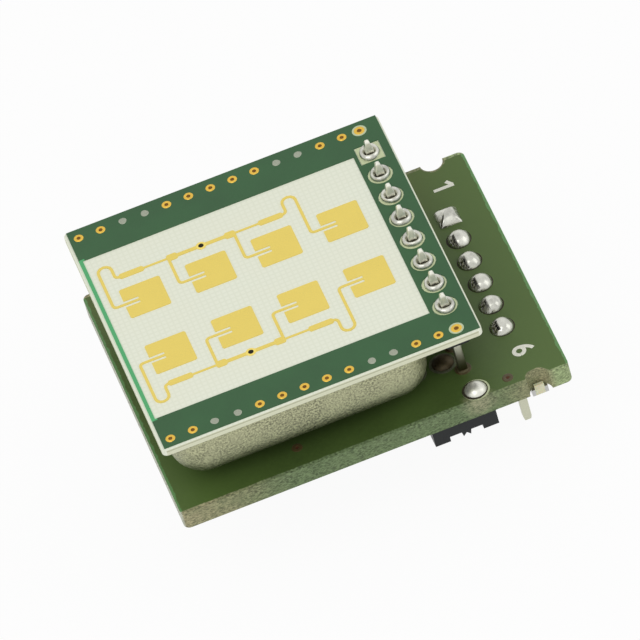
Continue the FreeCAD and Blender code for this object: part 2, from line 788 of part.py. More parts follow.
def make_trimmer_housing():
    """Moulded housing on four feet: two rails, a notched index mark and the rotor's cavity."""
    body = new_body("trimmer_housing")
    outline = new_sketch(body, "outline")
    rectangle(outline, 0, 0, "Sizes.trimmer_side", "Sizes.trimmer_side")
    pad(body, outline, TRIMMER_FLOOR)
    rails = new_sketch(body, "rails", TRIMMER_FLOOR)
    for side in ("", "-"):
        middle = side + "(Sizes.trimmer_side - Sizes.rail_width) / 2"
        rectangle(rails, middle, 0, "Sizes.rail_width", "Sizes.trimmer_side")
    pad(body, rails, "Sizes.rail_depth")
    mark = new_sketch(body, "mark", "-Sizes.trimmer_side / 2", role="XZ_Plane")
    wide = "Sizes.mark_width / 2"
    top = "Sizes.trimmer_height"
    tip = "Sizes.mark_tip / 2"
    polygon(mark, [("-" + wide, TRIMMER_FLOOR), (wide, TRIMMER_FLOOR), (tip, top),
                   (0, top + " - Sizes.mark_notch"), ("-" + tip, top)])
    pad(body, mark, "Sizes.mark_length")
    feet = new_sketch(body, "feet")
    reach = "(Sizes.trimmer_side - Sizes.trimmer_foot) / 2"
    for x_side, y_side in (("", ""), ("-", ""), ("", "-"), ("-", "-")):
        rectangle(feet, x_side + reach, y_side + reach, "Sizes.trimmer_foot", "Sizes.trimmer_foot")
    pad(body, feet, "Sizes.trimmer_standoff", down=True)
    seat = new_sketch(body, "base_seat")
    rectangle(seat, 0, 0, "Sizes.base_side", "Sizes.base_side")
    pocket(body, seat, "Sizes.base_thick")
    well = new_sketch(body, "well")
    circle(well, 0, 0, "Sizes.rotor_flange + 2 * Sizes.cavity_play")
    pocket(body, well, CAVITY)
    bore = new_sketch(body, "bore")
    circle(bore, 0, 0, "Sizes.rotor_knob + 2 * Sizes.cavity_play")
    pocket(body, bore, "Sizes.trimmer_height")
    place_trimmer(body)
    return body


def make_trimmer_rotor():
    """Turned rotor: a flange held in the housing and a slotted knob."""
    body = new_body("trimmer_rotor")
    start = "(Sizes.base_thick + Sizes.cavity_play)"
    end = "(%s + Sizes.rotor_reach)" % TRIMMER_FLOOR
    flange = new_sketch(body, "flange", start)
    circle(flange, 0, 0, "Sizes.rotor_flange")
    pad(body, flange, "Sizes.rotor_flange_thick")
    knob = new_sketch(body, "knob", start)
    circle(knob, 0, 0, "Sizes.rotor_knob")
    pad(body, knob, "%s - %s" % (end, start))
    slot = new_sketch(body, "slot", "%s - Sizes.slot_depth" % end)
    rectangle(slot, 0, 0, "Sizes.slot_width", "Sizes.rotor_knob * 2")
    pocket(body, slot, "Sizes.slot_depth")
    place_trimmer(body)
    return body


def make_trimmer_base():
    """Ceramic plate that closes the housing and carries the resistive track."""
    body = new_body("trimmer_base")
    outline = new_sketch(body, "outline")
    rectangle(outline, 0, 0, "Sizes.base_side", "Sizes.base_side")
    pad(body, outline, "Sizes.base_thick")
    place_trimmer(body)
    return body


def make_trimmer_legs():
    """Square legs from the base up through the carrier."""
    body = new_body("trimmer_legs")
    sketch = new_sketch(body, "sections")
    for _, x, y in TRIMMER_LEGS:
        rectangle(sketch, x, "-%s" % y, "Sizes.leg_width", "Sizes.leg_width")
    pad(body, sketch, "Sizes.trimmer_standoff + Sizes.carrier_thick + Sizes.leg_rise", down=True)
    place_trimmer(body)
    return body


def make_trimmer_solder():
    """Solder joints of the trimmer's legs on the upper side of the carrier."""
    joints = [
        solder_joint(name + "_joint", x, y, "Sizes.leg_dome", "Sizes.leg_dome_rise",
                     "Sizes.leg_dome_drop", "Sizes.leg_dome_inset",
                     "Sizes.leg_width", "Sizes.leg_rise", "Sizes.small_sides")
        for name, x, y in TRIMMER_LEGS
    ]
    group = joined("trimmer_solder", joints)
    place(group, TRIMMER_X, TRIMMER_Y, TOPSIDE)
    return group


def make_light(label, side):
    """Indicator light under a notch, with a window that rises into the notch."""
    body = new_body(label)
    width = "(Sizes.light_width - 2 * Sizes.light_end)"
    outline = new_sketch(body, "outline")
    rectangle(outline, 0, 0, width, "Sizes.light_length")
    pad(body, outline, "Sizes.light_thick", down=True)
    window = new_sketch(body, "window")
    reach = "(Sizes.light_length - Sizes.window_length) / 2"
    rectangle(window, 0, side + reach, width, "Sizes.window_length")
    pad(body, window, "Sizes.window_rise")
    place(body, "Sizes.notch_offset", side + LIGHT_Y, UNDERSIDE)
    return body


def make_light_contacts():
    """Metal side contacts of both lights."""
    body = new_body("light_contacts")
    sketch = new_sketch(body, "contacts")
    for x_side in ("", "-"):
        for y_side in ("", "-"):
            x = x_side + "(Sizes.light_width - Sizes.light_end) / 2"
            rectangle(sketch, x, y_side + LIGHT_Y, "Sizes.light_end", "Sizes.light_length")
    pad(body, sketch, "Sizes.light_thick", down=True)
    place(body, "Sizes.notch_offset", 0, UNDERSIDE)
    return body


def make_chip(name, x):
    """A moulded package and its two rows of gull-wing leads, hanging under the carrier."""
    y = "Sizes.%s_place * Sizes.carrier_width" % name
    length, width, height = ("Sizes.%s_%s" % (name, word) for word in ("length", "width", "height"))
    package = new_body(name)
    outline = new_sketch(package, "outline", "Sizes.chip_gap")
    rectangle(outline, 0, 0, width, length)
    pad(package, outline, height)
    place(package, x, y, UNDERSIDE, hanging=True)

    leads = new_body(name + "_leads")
    count = "Sizes.%s_leads / 2" % name
    pitch = "Sizes.%s_pitch" % name
    lead_width = "Sizes.%s_lead_width" % name
    shift = "(%s - 1) / 2 * %s + %s / 2" % (count, pitch, lead_width)
    profile = new_sketch(leads, "profile", shift, role="XZ_Plane")
    thick = "Sizes.lead_thick"
    root = "%s / 2" % width
    tip = "Sizes.%s_span / 2" % name
    bend = "(%s + %s) / 2" % (root, tip)
    high = "(Sizes.chip_gap + %s / 2)" % height
    outline = [
        (root, high), (bend, high), (bend + " + %s / 2" % thick, thick), (tip, thick), (tip, 0),
        (bend + " - %s / 2" % thick, 0), (bend + " - %s" % thick, high + " - %s" % thick),
        (root, high + " - %s" % thick),
    ]
    polygon(profile, outline)
    polygon(profile, [("-(%s)" % across, z) for across, z in outline])
    pair = pad(leads, profile, lead_width, down=True)
    row_of(leads, count, pitch, [pair])
    place(leads, x, y, UNDERSIDE, hanging=True)
    return [package, leads]


def make_chip_row(name, x, y, z, count, pitch, height):
    """A row of chip parts across X, their bodies and their metal ends, hanging under a board."""
    start = "-(%s - 1) / 2 * %s" % (count, pitch)
    length = "(Sizes.chip_length - 2 * Sizes.chip_end)"
    bodies = new_body(name + "s")
    outline = new_sketch(bodies, "outline")
    rectangle(outline, 0, start, length, "Sizes.chip_width")
    block = pad(bodies, outline, height)
    row_of(bodies, count, pitch, [block])
    place(bodies, x, y, z, hanging=True)
    ends = new_body(name + "_ends")
    outline = new_sketch(ends, "outline")
    for side in ("", "-"):
        middle = side + "(Sizes.chip_length - Sizes.chip_end) / 2"
        rectangle(outline, middle, start, "Sizes.chip_end", "Sizes.chip_width")
    pair = pad(ends, outline, height)
    row_of(ends, count, pitch, [pair])
    place(ends, x, y, z, hanging=True)
    return [bodies, ends]


def make_transceiver():
    """Radar transceiver chip inside the can, between the two feed holes."""
    body = new_body("radar_transceiver")
    outline = new_sketch(body, "outline")
    rectangle(outline, FEED_X, 0, "Sizes.transceiver_side", "Sizes.transceiver_side")
    pad(body, outline, "Sizes.transceiver_height")
    place(body, RF_X, 0, RF_BACK, hanging=True)
    return body


upper_array = make_upper_array()
parts = [
    make_antenna_board(),
    make_front_mask(),
    upper_array,
    make_lower_array(upper_array),
    make_vias("ground_vias", OPEN_VIAS, "Sizes.via_ring", "Sizes.via_hole"),
    make_vias("filled_vias", FILLED_VIAS, "Sizes.via_filling"),
    make_vias("corner_vias", CORNER_VIAS, "Sizes.corner_via_ring", "Sizes.corner_via_hole"),
    make_stack_pads(),
    make_collars("antenna_joints", "Sizes.fillet_foot", "Sizes.fillet_rise",
                 RF_FACE + " + Sizes.copper_thick"),
    make_pins("stack_pins", STACK_START, "Sizes.stack_ways", STACK_PITCH, STACK_X,
              UNDERSIDE + " - Sizes.stack_drop", RF_FACE + " + Sizes.stack_rise"),
    make_insulator("stack_insulator", STACK_START, "Sizes.stack_ways", STACK_PITCH, STACK_X,
                   RF_BACK + " - Sizes.insulator_height"),
    make_collars("carrier_joints", "Sizes.joint_foot", "Sizes.joint_rise", UNDERSIDE,
                 hanging=True),
    make_shield_can(),
    make_transceiver(),
    make_carrier_board(),
    make_insulator("output_insulator", OUTPUT_START, "Sizes.output_ways", "Sizes.pin_pitch", 0, 0),
    make_pins("output_pins", OUTPUT_START, "Sizes.output_ways", "Sizes.pin_pitch", 0,
              "-Sizes.output_drop", TOPSIDE + " + Sizes.output_rise", blunt_top=True),
    make_output_solder(),
    make_trimmer_housing(),
    make_trimmer_rotor(),
    make_trimmer_base(),
    make_trimmer_legs(),
    make_trimmer_solder(),
    make_light("detection_light", ""),
    make_light("direction_light", "-"),
    make_light_contacts(),
]
parts += make_chip("processor", PROCESSOR_X)
parts += make_chip("amplifier", AMPLIFIER_X)
parts += make_chip("regulator", REGULATOR_X)
parts += make_chip_row("capacitor", PROCESSOR_X, "Sizes.capacitor_place * Sizes.carrier_width",
                       UNDERSIDE, "Sizes.capacitor_count", "Sizes.capacitor_pitch",
                       "Sizes.capacitor_height")
parts += make_chip_row("resistor", RESISTOR_X, 0, UNDERSIDE, "Sizes.resistor_count",
                       "Sizes.resistor_pitch", "Sizes.resistor_height")
parts += make_chip_row("inner_chip", RF_X + " + Sizes.inner_x", 0, RF_BACK,
                       "Sizes.inner_count", "Sizes.inner_pitch", "Sizes.capacitor_height")
doc.recompute()

for feature in doc.Objects:
    if "Invalid" in feature.State or "Error" in feature.State:
        raise RuntimeError("%s failed: %s" % (feature.Name, feature.State))
os.makedirs("parts", exist_ok=True)
for part in parts:
    if part.Shape.isNull() or not part.Shape.isValid() or not part.Shape.Solids:
        raise RuntimeError(part.Label + " has no valid solid")
    part.Shape.exportStep("parts/" + part.Label + ".step")
    print("%-20s %2d solids %10.3f mm3" % (part.Label, len(part.Shape.Solids), part.Shape.Volume))
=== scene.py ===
import json
import math

import bpy
import numpy as np
from bpy.props import FloatProperty, FloatVectorProperty, IntProperty, PointerProperty
from mathutils import Matrix, Vector


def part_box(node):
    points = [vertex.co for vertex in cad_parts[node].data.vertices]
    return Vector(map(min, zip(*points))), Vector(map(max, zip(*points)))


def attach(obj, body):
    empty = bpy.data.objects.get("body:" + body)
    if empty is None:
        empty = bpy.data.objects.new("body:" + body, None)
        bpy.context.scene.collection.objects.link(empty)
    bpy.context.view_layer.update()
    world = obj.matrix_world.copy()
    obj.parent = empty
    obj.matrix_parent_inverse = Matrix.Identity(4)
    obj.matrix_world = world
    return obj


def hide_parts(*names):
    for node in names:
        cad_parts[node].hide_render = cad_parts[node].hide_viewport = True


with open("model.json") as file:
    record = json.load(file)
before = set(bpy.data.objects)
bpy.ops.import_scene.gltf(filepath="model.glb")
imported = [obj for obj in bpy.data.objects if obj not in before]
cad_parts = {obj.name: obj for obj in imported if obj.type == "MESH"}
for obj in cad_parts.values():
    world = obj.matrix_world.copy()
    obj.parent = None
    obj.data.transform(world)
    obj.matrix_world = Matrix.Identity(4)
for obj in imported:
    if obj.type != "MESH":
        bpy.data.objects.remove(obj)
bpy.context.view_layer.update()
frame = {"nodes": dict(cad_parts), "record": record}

bl_info = {
    "name": "Radar sensor module look",
    "version": (1, 0, 0),
    "blender": (4, 5, 0),
    "location": "View3D > Sidebar > Radar module",
    "description": "Dresses the radar sensor module: solder, vias, pins, shield can, finishes and stage",
    "category": "Object",
}

# Shapes and places are in millimetres, and times MM they are in metres, as the scene is
MM = 0.001
PITCH = 2.54
STACK_WAYS = 8
OUTPUT_WAYS = 6
BODY = "module"


def edges_of(node):
    """The lowest and highest corner of a CAD node, in millimetres."""
    low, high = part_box(node)
    return np.array(low) / MM, np.array(high) / MM


def pin_spots(low, high, ways):
    """The places of a row of pins along Y, from pin 1 at the back, from the corners of its node."""
    x = (low[0] + high[0]) / 2
    return [(x, y) for y in ((ways - 1) / 2 - np.arange(ways)) * PITCH]


BOARD_LOW, BOARD_HIGH = edges_of("antenna_board")
MASK_LOW, MASK_HIGH = edges_of("front_mask")
CARRIER_LOW, CARRIER_HIGH = edges_of("carrier_board")
STACK_LOW, STACK_HIGH = edges_of("stack_pins")
OUTPUT_LOW, OUTPUT_HIGH = edges_of("output_pins")
CAN_LOW, CAN_HIGH = edges_of("shield_can")
STACK_PAD_LOW, STACK_PAD_HIGH = edges_of("stack_pads")
BOARD_MIDDLE = (BOARD_LOW + BOARD_HIGH) / 2
STACK_SPOTS = pin_spots(STACK_LOW, STACK_HIGH, STACK_WAYS)
OUTPUT_SPOTS = pin_spots(OUTPUT_LOW, OUTPUT_HIGH, OUTPUT_WAYS)
DECK = CARRIER_HIGH[2]
NOTCH = np.array([0.7, 12.5])
NOTCH_RADIUS = 0.88
NECK = 0.3
LEG_PAD = 1.04
PAD_THICKNESS = 0.02
ONE_SPOT = (0.72, 9.5)
SIX_SPOT = (0.72, -9.3)
TENTED_SPOTS = [(-1.30, -11.42), (-17.52, -10.36)]
TRIMMER = np.array([-5.35, -9.35])
LEG_SPOTS = TRIMMER + np.array([[1.55, -2.07], [0.2, 1.7], [-2.15, 1.7]])
FLUX_SPOT = np.array([-3.9, -12.5, 3.8])


def display(red, green, blue):
    """A colour read off a screen, from 0 to 255, as linear light: the sRGB curve undone."""
    value = np.array([red, green, blue]) / 255
    low = value / 12.92
    high = ((value + 0.055) / 1.055) ** 2.4
    return tuple(float(x) for x in np.where(value <= 0.04045, low, high))


def colour(name, text, value):
    """A colour property with its default."""
    return FloatVectorProperty(
        name=name, description=text, subtype="COLOR", size=3, min=0, max=1, default=display(*value)
    )


def amount(name, text, value, least=0.0):
    """A number property with its default and its least value."""
    return FloatProperty(name=name, description=text, default=value, min=least)


def length(name, text, value, least=0.0):
    """A length or place in millimetres, as a number property."""
    return amount(name, text + ", in millimetres", value, least)


class BoardColours(bpy.types.PropertyGroup):
    laminate: colour("Laminate", "Cream microwave laminate of the antenna board", (246, 250, 232))
    laminate_thread: colour("Laminate thread", "Glass threads in the laminate", (222, 229, 207))
    laminate_tone: colour("Laminate tone", "Slightly yellower patches of the laminate", (246, 242, 216))
    laminate_edge: colour("Laminate edge", "Cut edge of the laminate", (226, 228, 200))
    laminate_line: colour("Laminate line", "Darker line along the laminate's cut edge", (150, 152, 116))
    mask: colour("Antenna mask", "Solder mask over copper on the antenna board", (40, 89, 46))
    bare_mask: colour("Bare mask", "Solder mask with no copper under it", (80, 178, 112))
    carrier: colour("Carrier mask", "Solder mask over copper on the carrier", (73, 94, 45))
    carrier_bare: colour("Carrier bare mask", "Solder mask with no copper under it", (104, 150, 92))
    aged_mask: colour("Aged mask", "Browner mask near the carrier's back edge", (104, 106, 42))
    glass: colour("Board edge", "Cut glass fibre and resin at the carrier's edges", (126, 146, 104))
    resin: colour("Resin", "Greener patches of the cut edges", (104, 128, 84))
    tan_glass: colour("Tan edge", "Browner resin near the ends of the carrier", (186, 179, 140))
    pale_glass: colour("Pale edge", "Paler resin beside the output end", (196, 214, 158))
    far_glass: colour("Far edge", "Pale cut face of the far end", (238, 240, 222))
    stain: colour("Flux stain", "Dried flux on the carrier's front edge", (196, 186, 156))
    print: colour("Print", "Printed numerals on the carrier", (255, 255, 240))


class MetalColours(bpy.types.PropertyGroup):
    copper_gold: colour("Antenna gold", "Matt gold plate on the patches and lines", (234, 212, 112))
    ring_gold: colour("Via gold", "Bright gold plate on the rings", (236, 194, 84))
    solder: colour("Solder", "Bright tin solder", (214, 214, 204))
    old_solder: colour("Filled vias", "Dull solder that fills some vias", (172, 178, 160))
    # Painted shade: dull solder darkened for the trimmer joints that lie in the shade between the boards.
    stained_solder: colour("Stained solder", "Flux-stained joints between the boards", (78, 68, 46))
    foot: colour("Pin foot", "Stained solder round the header pins on the carrier", (84, 76, 48))
    pin: colour("Output pin", "Plated output pins", (205, 206, 184))
    header_pin: colour("Header pin", "Tinned pins between the boards", (238, 238, 226))
    pad_rim: colour("Pad rim", "Flux-stained tin at the rims of the pads", (168, 176, 140))
    can: colour("Can", "Tinned steel of the can", (197, 198, 161))
    tin: colour("Leads", "Tinned leads and chip ends", (196, 196, 192))


class PlasticColours(bpy.types.PropertyGroup):
    insulator: colour("Insulator", "Moulded pin strips", (28, 29, 30))
    package: colour("Package", "Moulded chip packages", (38, 38, 40))
    trimmer: colour("Trimmer", "Moulded trimmer housing", (24, 28, 29))
    ceramic: colour("Ceramic", "Ceramic base of the trimmer", (222, 218, 206))
    light: colour("Light", "Cream body of the indicator lights", (232, 230, 198))
    light_tone: colour("Light tone", "Darker patches of the indicator lights", (216, 212, 176))
    capacitor: colour("Capacitor", "Ceramic chip capacitors", (168, 140, 104))
    resistor: colour("Resistor", "Film of the chip resistors", (44, 42, 44))


class SolderSizes(bpy.types.PropertyGroup):
    collar_foot: length("Collar foot", "Radius of the solder on the antenna board", 0.81)
    collar_rise: length("Collar rise", "Height of the solder round the pins", 0.34)
    dome_radius: length("Dome radius", "Radius of the output pins' solder", 0.875)
    dome_rise: length("Dome rise", "Height of the output pins' solder", 0.66)
    leg_radius: length("Leg joint radius", "Radius of the trimmer legs' solder", 0.84)
    leg_rise: length("Leg joint rise", "Height of the trimmer legs' solder", 0.52)
    lumps: amount("Lumps", "Unevenness of the solder, as a share of its radius", 0.035)
    seed: IntProperty(name="Seed", description="Chooses the unevenness of each joint", default=7)


class CanSizes(bpy.types.PropertyGroup):
    wall: length("Wall", "Thickness of the drawn sheet", 0.3)
    corner: length("Corner radius", "Radius of the upright corners", 2.6)
    edge: length("Edge radius", "Radius of the long lower edges", 2.4)
    dent: length("Dent", "Depth of the shallow hollows left by drawing", 0.03)


class StageSettings(bpy.types.PropertyGroup):
    sky: amount("Sky", "Strength of the even light from all sides", 0.62)
    key: amount("Key light", "Power of the large lamp, in watts", 0.34)
    fill: amount("Fill light", "Power of the second lamp, in watts", 0.12)
    floor_gap: length("Floor gap", "Distance from the pins' tips down to the floor", 0.2)


GROUPS = {
    "board_colours": BoardColours,
    "metal_colours": MetalColours,
    "plastic_colours": PlasticColours,
    "solder_sizes": SolderSizes,
    "can_sizes": CanSizes,
    "stage_settings": StageSettings,
}


def settings(name):
    """One of the module's groups of settings, kept in the scene."""
    return getattr(bpy.context.scene, "radar_" + name)


# Surfaces


def grid_faces(rows, columns):
    """Corner numbers of the quads of a grid whose last column joins its first."""
    index = np.arange(rows * columns).reshape(rows, columns)
    index = np.concatenate([index, index[:, :1]], axis=1)
    corners = (index[:-1, :-1], index[:-1, 1:], index[1:, 1:], index[1:, :-1])
    return np.stack(corners, axis=-1).reshape(-1, 4)


def squircle(turn, squareness):
    """Points of a unit curve between a circle and a square.

    x and y are the cosine and sine of the turn, each raised to 2 / n with its sign kept. n is 2
    for a circle, and the curve nears a square as n grows.
    """
    power = 2 / squareness
    cosine, sine = np.cos(turn), np.sin(turn)
    x = np.sign(cosine) * np.abs(cosine) ** power
    y = np.sign(sine) * np.abs(sine) ** power
    return np.stack(np.broadcast_arrays(x, y), axis=-1)


def lifted(outlines, height):
    """Flat outlines put at their heights, one height for each."""
    level = np.broadcast_to(np.asarray(height, float)[:, None, None], outlines.shape[:2] + (1,))
    return np.concatenate([outlines, level], axis=-1)


def turned(radius, height, squareness=2.0, sides=48, lumps=None):
    """A stack of rings: ring i is a squircle of radius[i] and squareness[i] at height[i].

    Where lumps are given, the radius is multiplied by 1 + lumps, one value for each ring and turn.
    """
    radius = np.asarray(radius, float)
    square = np.broadcast_to(np.asarray(squareness, float), radius.shape)
    turn = np.arange(sides) * 2 * np.pi / sides + np.pi / sides
    ring = squircle(turn[None, :], square[:, None]) * radius[:, None, None]
    if lumps is not None:
        ring = ring * (1 + lumps)[:, :, None]
    return lifted(ring, height)


def lump_field(rows, sides, strength, random):
    """Smooth unevenness round a joint: three waves round it, each with its own phase and slope."""
    turn = np.arange(sides) * 2 * np.pi / sides
    up = np.linspace(0, 1, rows)[:, None]
    field = np.zeros((rows, sides))
    for waves in (1, 2, 3):
        phase, slope = random.uniform(0, 2 * np.pi, 2)
        field += np.sin(waves * turn[None, :] + phase + slope * up) / waves
    return strength * field * (1 - up ** 3)


def rounded_outline(half_x, half_y, corner, steps=10, side_steps=6):
    """A rounded rectangle: four quarter circles of the corner radius, joined by straight runs.

    The three sizes may be arrays, one value for each outline. Every outline has the same number
    of points, so that neighbouring outlines match point for point.
    """
    half_x, half_y, corner = np.atleast_1d(half_x, half_y, corner)
    quarter = np.linspace(0, np.pi / 2, steps)
    arcs = []
    for index, (sign_x, sign_y) in enumerate(((1, 1), (-1, 1), (-1, -1), (1, -1))):
        turn = quarter + index * np.pi / 2
        x = sign_x * (half_x - corner)[:, None] + corner[:, None] * np.cos(turn)[None, :]
        y = sign_y * (half_y - corner)[:, None] + corner[:, None] * np.sin(turn)[None, :]
        arcs.append(np.stack([x, y], axis=-1))
    runs = []
    share = np.linspace(0, 1, side_steps + 2)[1:-1][None, :, None]
    for index, arc in enumerate(arcs):
        after = arcs[(index + 1) % 4]
        runs += [arc, arc[:, -1:] * (1 - share) + after[:, :1] * share]
    return np.concatenate(runs, axis=1)


def ribbon(path, width, low, high):
    """A flat stroke along a path: each point goes half the width to both sides, square to the path."""
    along = np.gradient(path, axis=0)
    along /= np.linalg.norm(along, axis=1, keepdims=True)
    across = np.stack([-along[:, 1], along[:, 0]], axis=-1) * width / 2
    corners = ((-across, high), (-across, low), (across, low), (across, high))
    edges = [
        np.concatenate([path + side, np.full((len(path), 1), level)], axis=1) for side, level in corners
    ]
    return np.stack(edges, axis=1)


def moved(points, x, y, z):
    """A copy of points set off by x, y and z."""
    return points + np.array([x, y, z])


def copies(make, spots, z):
    """Like shapes at several places, each made by a call, because some draw their own unevenness."""
    return [moved(make(), x, y, z) for x, y in spots]


def joined(grids):
    """The points of several grids in one array and all their faces, with each grid's ends closed."""
    faces, start = [], 0
    for grid in grids:
        rows, columns = grid.shape[:2]
        faces += (grid_faces(rows, columns) + start).tolist()
        faces.append(list(range(start + columns - 1, start - 1, -1)))
        faces.append(list(range(start + (rows - 1) * columns, start + rows * columns)))
        start += rows * columns
    return np.concatenate([grid.reshape(-1, 3) for grid in grids]), faces


def build(name, grids, finish, replaced=(), sharp=50):
    """One piece from several grids in millimetres, with its finish, that rides on the module."""
    points, faces = joined(grids)
    mesh = bpy.data.meshes.new(name)
    mesh.from_pydata((points * MM).tolist(), [], faces)
    if mesh.validate():
        raise RuntimeError(name + " has faulty faces")
    mesh.shade_smooth()
    mesh.set_sharp_from_angle(angle=math.radians(sharp))
    mesh.materials.append(material_named(finish))
    piece = bpy.data.objects.new(name, mesh)
    bpy.context.scene.collection.objects.link(piece)
    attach(piece, BODY)
    if replaced:
        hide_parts(*replaced)


# Shader nodes


def new_group(name, inputs, outputs):
    """A shader group with named number and vector sockets, and the ends inside it."""
    tree = bpy.data.node_groups.new(name, "ShaderNodeTree")
    for title, kind, default in inputs:
        socket = tree.interface.new_socket(title, in_out="INPUT", socket_type="NodeSocket" + kind)
        if default is not None:
            socket.default_value = default
    for title, kind in outputs:
        tree.interface.new_socket(title, in_out="OUTPUT", socket_type="NodeSocket" + kind)
    return tree, tree.nodes.new("NodeGroupInput").outputs, tree.nodes.new("NodeGroupOutput").inputs


def node(kind, modes=None, tree=None, **inputs):
    """A node with its modes, and with values or links put on its inputs by name or number.

    It goes into the tree that its links come from. A node without links is given its tree.
    """
    links = [value for value in inputs.values() if isinstance(value, bpy.types.NodeSocket)]
    made = (tree or links[0].id_data).nodes.new("ShaderNode" + kind)
    for key, value in (modes or {}).items():
        setattr(made, key, value)
    for key, value in inputs.items():
        title = int(key[1:]) if key[0] == "_" and key[1:].isdigit() else key.replace("_", " ")
        put(made.inputs[title], value)
    return made


def put(socket, value):
    """Link a socket to another node's output, or set its value."""
    if isinstance(value, bpy.types.NodeSocket):
        socket.id_data.links.new(value, socket)
    else:
        socket.default_value = value


def maths(operation, first, second=0.0, third=0.0, clamp=False):
    """The result of one arithmetic step."""
    modes = {"operation": operation, "use_clamp": clamp}
    return node("Math", modes, _0=first, _1=second, _2=third).outputs[0]


def times(first, second):
    """The product of two values."""
    return maths("MULTIPLY", first, second)


def vectors(operation, first, second=(0, 0, 0)):
    """The result of one arithmetic step on vectors or colours."""
    return node("VectorMath", {"operation": operation}, _0=first, _1=second).outputs[0]


def smooth(value, low, high):
    """0 below low, 1 above high, and a smooth rise between them."""
    modes = {"interpolation_type": "SMOOTHSTEP", "clamp": True}
    return node("MapRange", modes, Value=value, From_Min=low, From_Max=high).outputs["Result"]


def falling(value, low, high):
    """1 below low, 0 above high, and a smooth fall between them."""
    return maths("SUBTRACT", 1.0, smooth(value, low, high))


def noise(vector, scale, detail, roughness=0.5):
    """Smooth noise between 0 and 1."""
    return node("TexNoise", Vector=vector, Scale=scale, Detail=detail, Roughness=roughness).outputs[0]


def split(vector):
    """The three parts of a vector."""
    return node("SeparateXYZ", Vector=vector).outputs[:]


def blended(factor, first, second):
    """One colour where the factor is 0 and another where it is 1."""
    first, second = (x if isinstance(x, bpy.types.NodeSocket) else (*x, 1) for x in (first, second))
    return node("Mix", {"data_type": "RGBA"}, Factor=factor, _6=first, _7=second).outputs[2]


def shown_directly(rays):
    """1 for rays from the camera, and for those that a mirror or a glass sends on."""
    mirrored = maths("MAXIMUM", rays.outputs["Is Glossy Ray"], rays.outputs["Is Transmission Ray"])
    return maths("MAXIMUM", rays.outputs["Is Camera Ray"], mirrored)


def grain_group():
    """Fine grain: noise at one scale, and a coarser one that varies its strength."""
    tree, inside, outside = new_group(
        "Grain",
        [("Vector", "Vector", None), ("Scale", "Float", 4000.0), ("Contrast", "Float", 1.0)],
        [("Value", "Float"), ("Height", "Float")],
    )
    vector, scale = inside["Vector"], inside["Scale"]
    fine = noise(vector, scale, 3.0, 0.6)
    broad = noise(vector, times(scale, 0.17), 2.0)
    centred = maths("SUBTRACT", fine, 0.5)
    strength = times(broad, inside["Contrast"])
    swing = times(centred, times(strength, 4.0))
    put(outside["Value"], maths("ADD", swing, 0.5, clamp=True))
    put(outside["Height"], fine)
    return tree


def weave_group():
    """Plain weave: two sets of thin threads cross; each thread is the crest of a wave, sharpened."""
    tree, inside, outside = new_group(
        "Weave",
        [("Vector", "Vector", None), ("Threads", "Float", 2000.0)],
        [("Value", "Float"), ("Height", "Float")],
    )
    waves = [
        node("TexWave", {"bands_direction": axis}, Vector=inside["Vector"], Scale=inside["Threads"],
             Distortion=0.5, Detail=1.0, Detail_Scale=0.4).outputs["Fac"]
        for axis in ("X", "Y")
    ]
    top = maths("MAXIMUM", *[maths("POWER", wave, 3.0) for wave in waves])
    put(outside["Value"], top)
    put(outside["Height"], top)
    return tree


def blotch_group():
    """Broad uneven patches: slow noise, stretched to run from 0 to 1."""
    tree, inside, outside = new_group(
        "Blotches",
        [("Vector", "Vector", None), ("Scale", "Float", 200.0), ("Spread", "Float", 0.25)],
        [("Value", "Float")],
    )
    low = maths("SUBTRACT", 0.5, inside["Spread"])
    high = maths("ADD", 0.5, inside["Spread"])
    slow = noise(inside["Vector"], inside["Scale"], 4.0, 0.55)
    put(outside["Value"], smooth(slow, low, high))
    return tree


def border_group():
    """How far inside a rectangle a point lies: 0 at its rim and 1 from the rim's width inwards."""
    tree, inside, outside = new_group(
        "Border",
        [("Vector", "Vector", None), ("Middle", "Vector", (0, 0, 0)), ("Half Size", "Vector", (1, 1, 1)),
         ("Rim", "Float", 0.3 * MM), ("Ragged", "Float", 0.05 * MM)],
        [("Inside", "Float")],
    )
    offset = vectors("ABSOLUTE", vectors("SUBTRACT", inside["Vector"], inside["Middle"]))
    x, y, _ = split(vectors("SUBTRACT", inside["Half Size"], offset))
    uneven = maths("SUBTRACT", noise(inside["Vector"], 1800.0, 2.0), 0.5)
    distance = maths("ADD", maths("MINIMUM", x, y), times(uneven, inside["Ragged"]))
    low = times(inside["Rim"], 0.9)
    high = times(inside["Rim"], 1.1)
    put(outside["Inside"], smooth(distance, low, high))
    return tree


EFFECTS = {"Grain": grain_group, "Weave": weave_group, "Blotches": blotch_group, "Border": border_group}


def effect(name, **inputs):
    """The outputs of one of the shared groups, placed in a material with its own values."""
    made = inputs["Vector"].id_data.nodes.new("ShaderNodeGroup")
    made.node_tree = bpy.data.node_groups.get(name) or EFFECTS[name]()
    for key, value in inputs.items():
        put(made.inputs[key.replace("_", " ")], value)
    return made.outputs


# Finishes


def start_material(name, roughness, metallic=0.0, specular=0.5):
    """A material with its Principled shader's inputs, and the object's own coordinates."""
    material = bpy.data.materials.new(name)
    material.use_nodes = True
    tree = material.node_tree
    surface = tree.nodes["Principled BSDF"].inputs
    surface["Roughness"].default_value = roughness
    surface["Metallic"].default_value = metallic
    surface["Specular IOR Level"].default_value = specular
    return material, surface, node("TexCoord", tree=tree).outputs["Object"]


def bumped(surface, height, strength, depth):
    """Feed a height to the shader's normal, with its depth in metres."""
    bump = node("Bump", Height=height, Strength=strength, Distance=depth)
    put(surface["Normal"], bump.outputs["Normal"])


def scaled(colour_value, factor):
    """A colour made darker or lighter, but no brighter than 1."""
    return tuple(min(1.0, float(x) * factor) for x in colour_value)


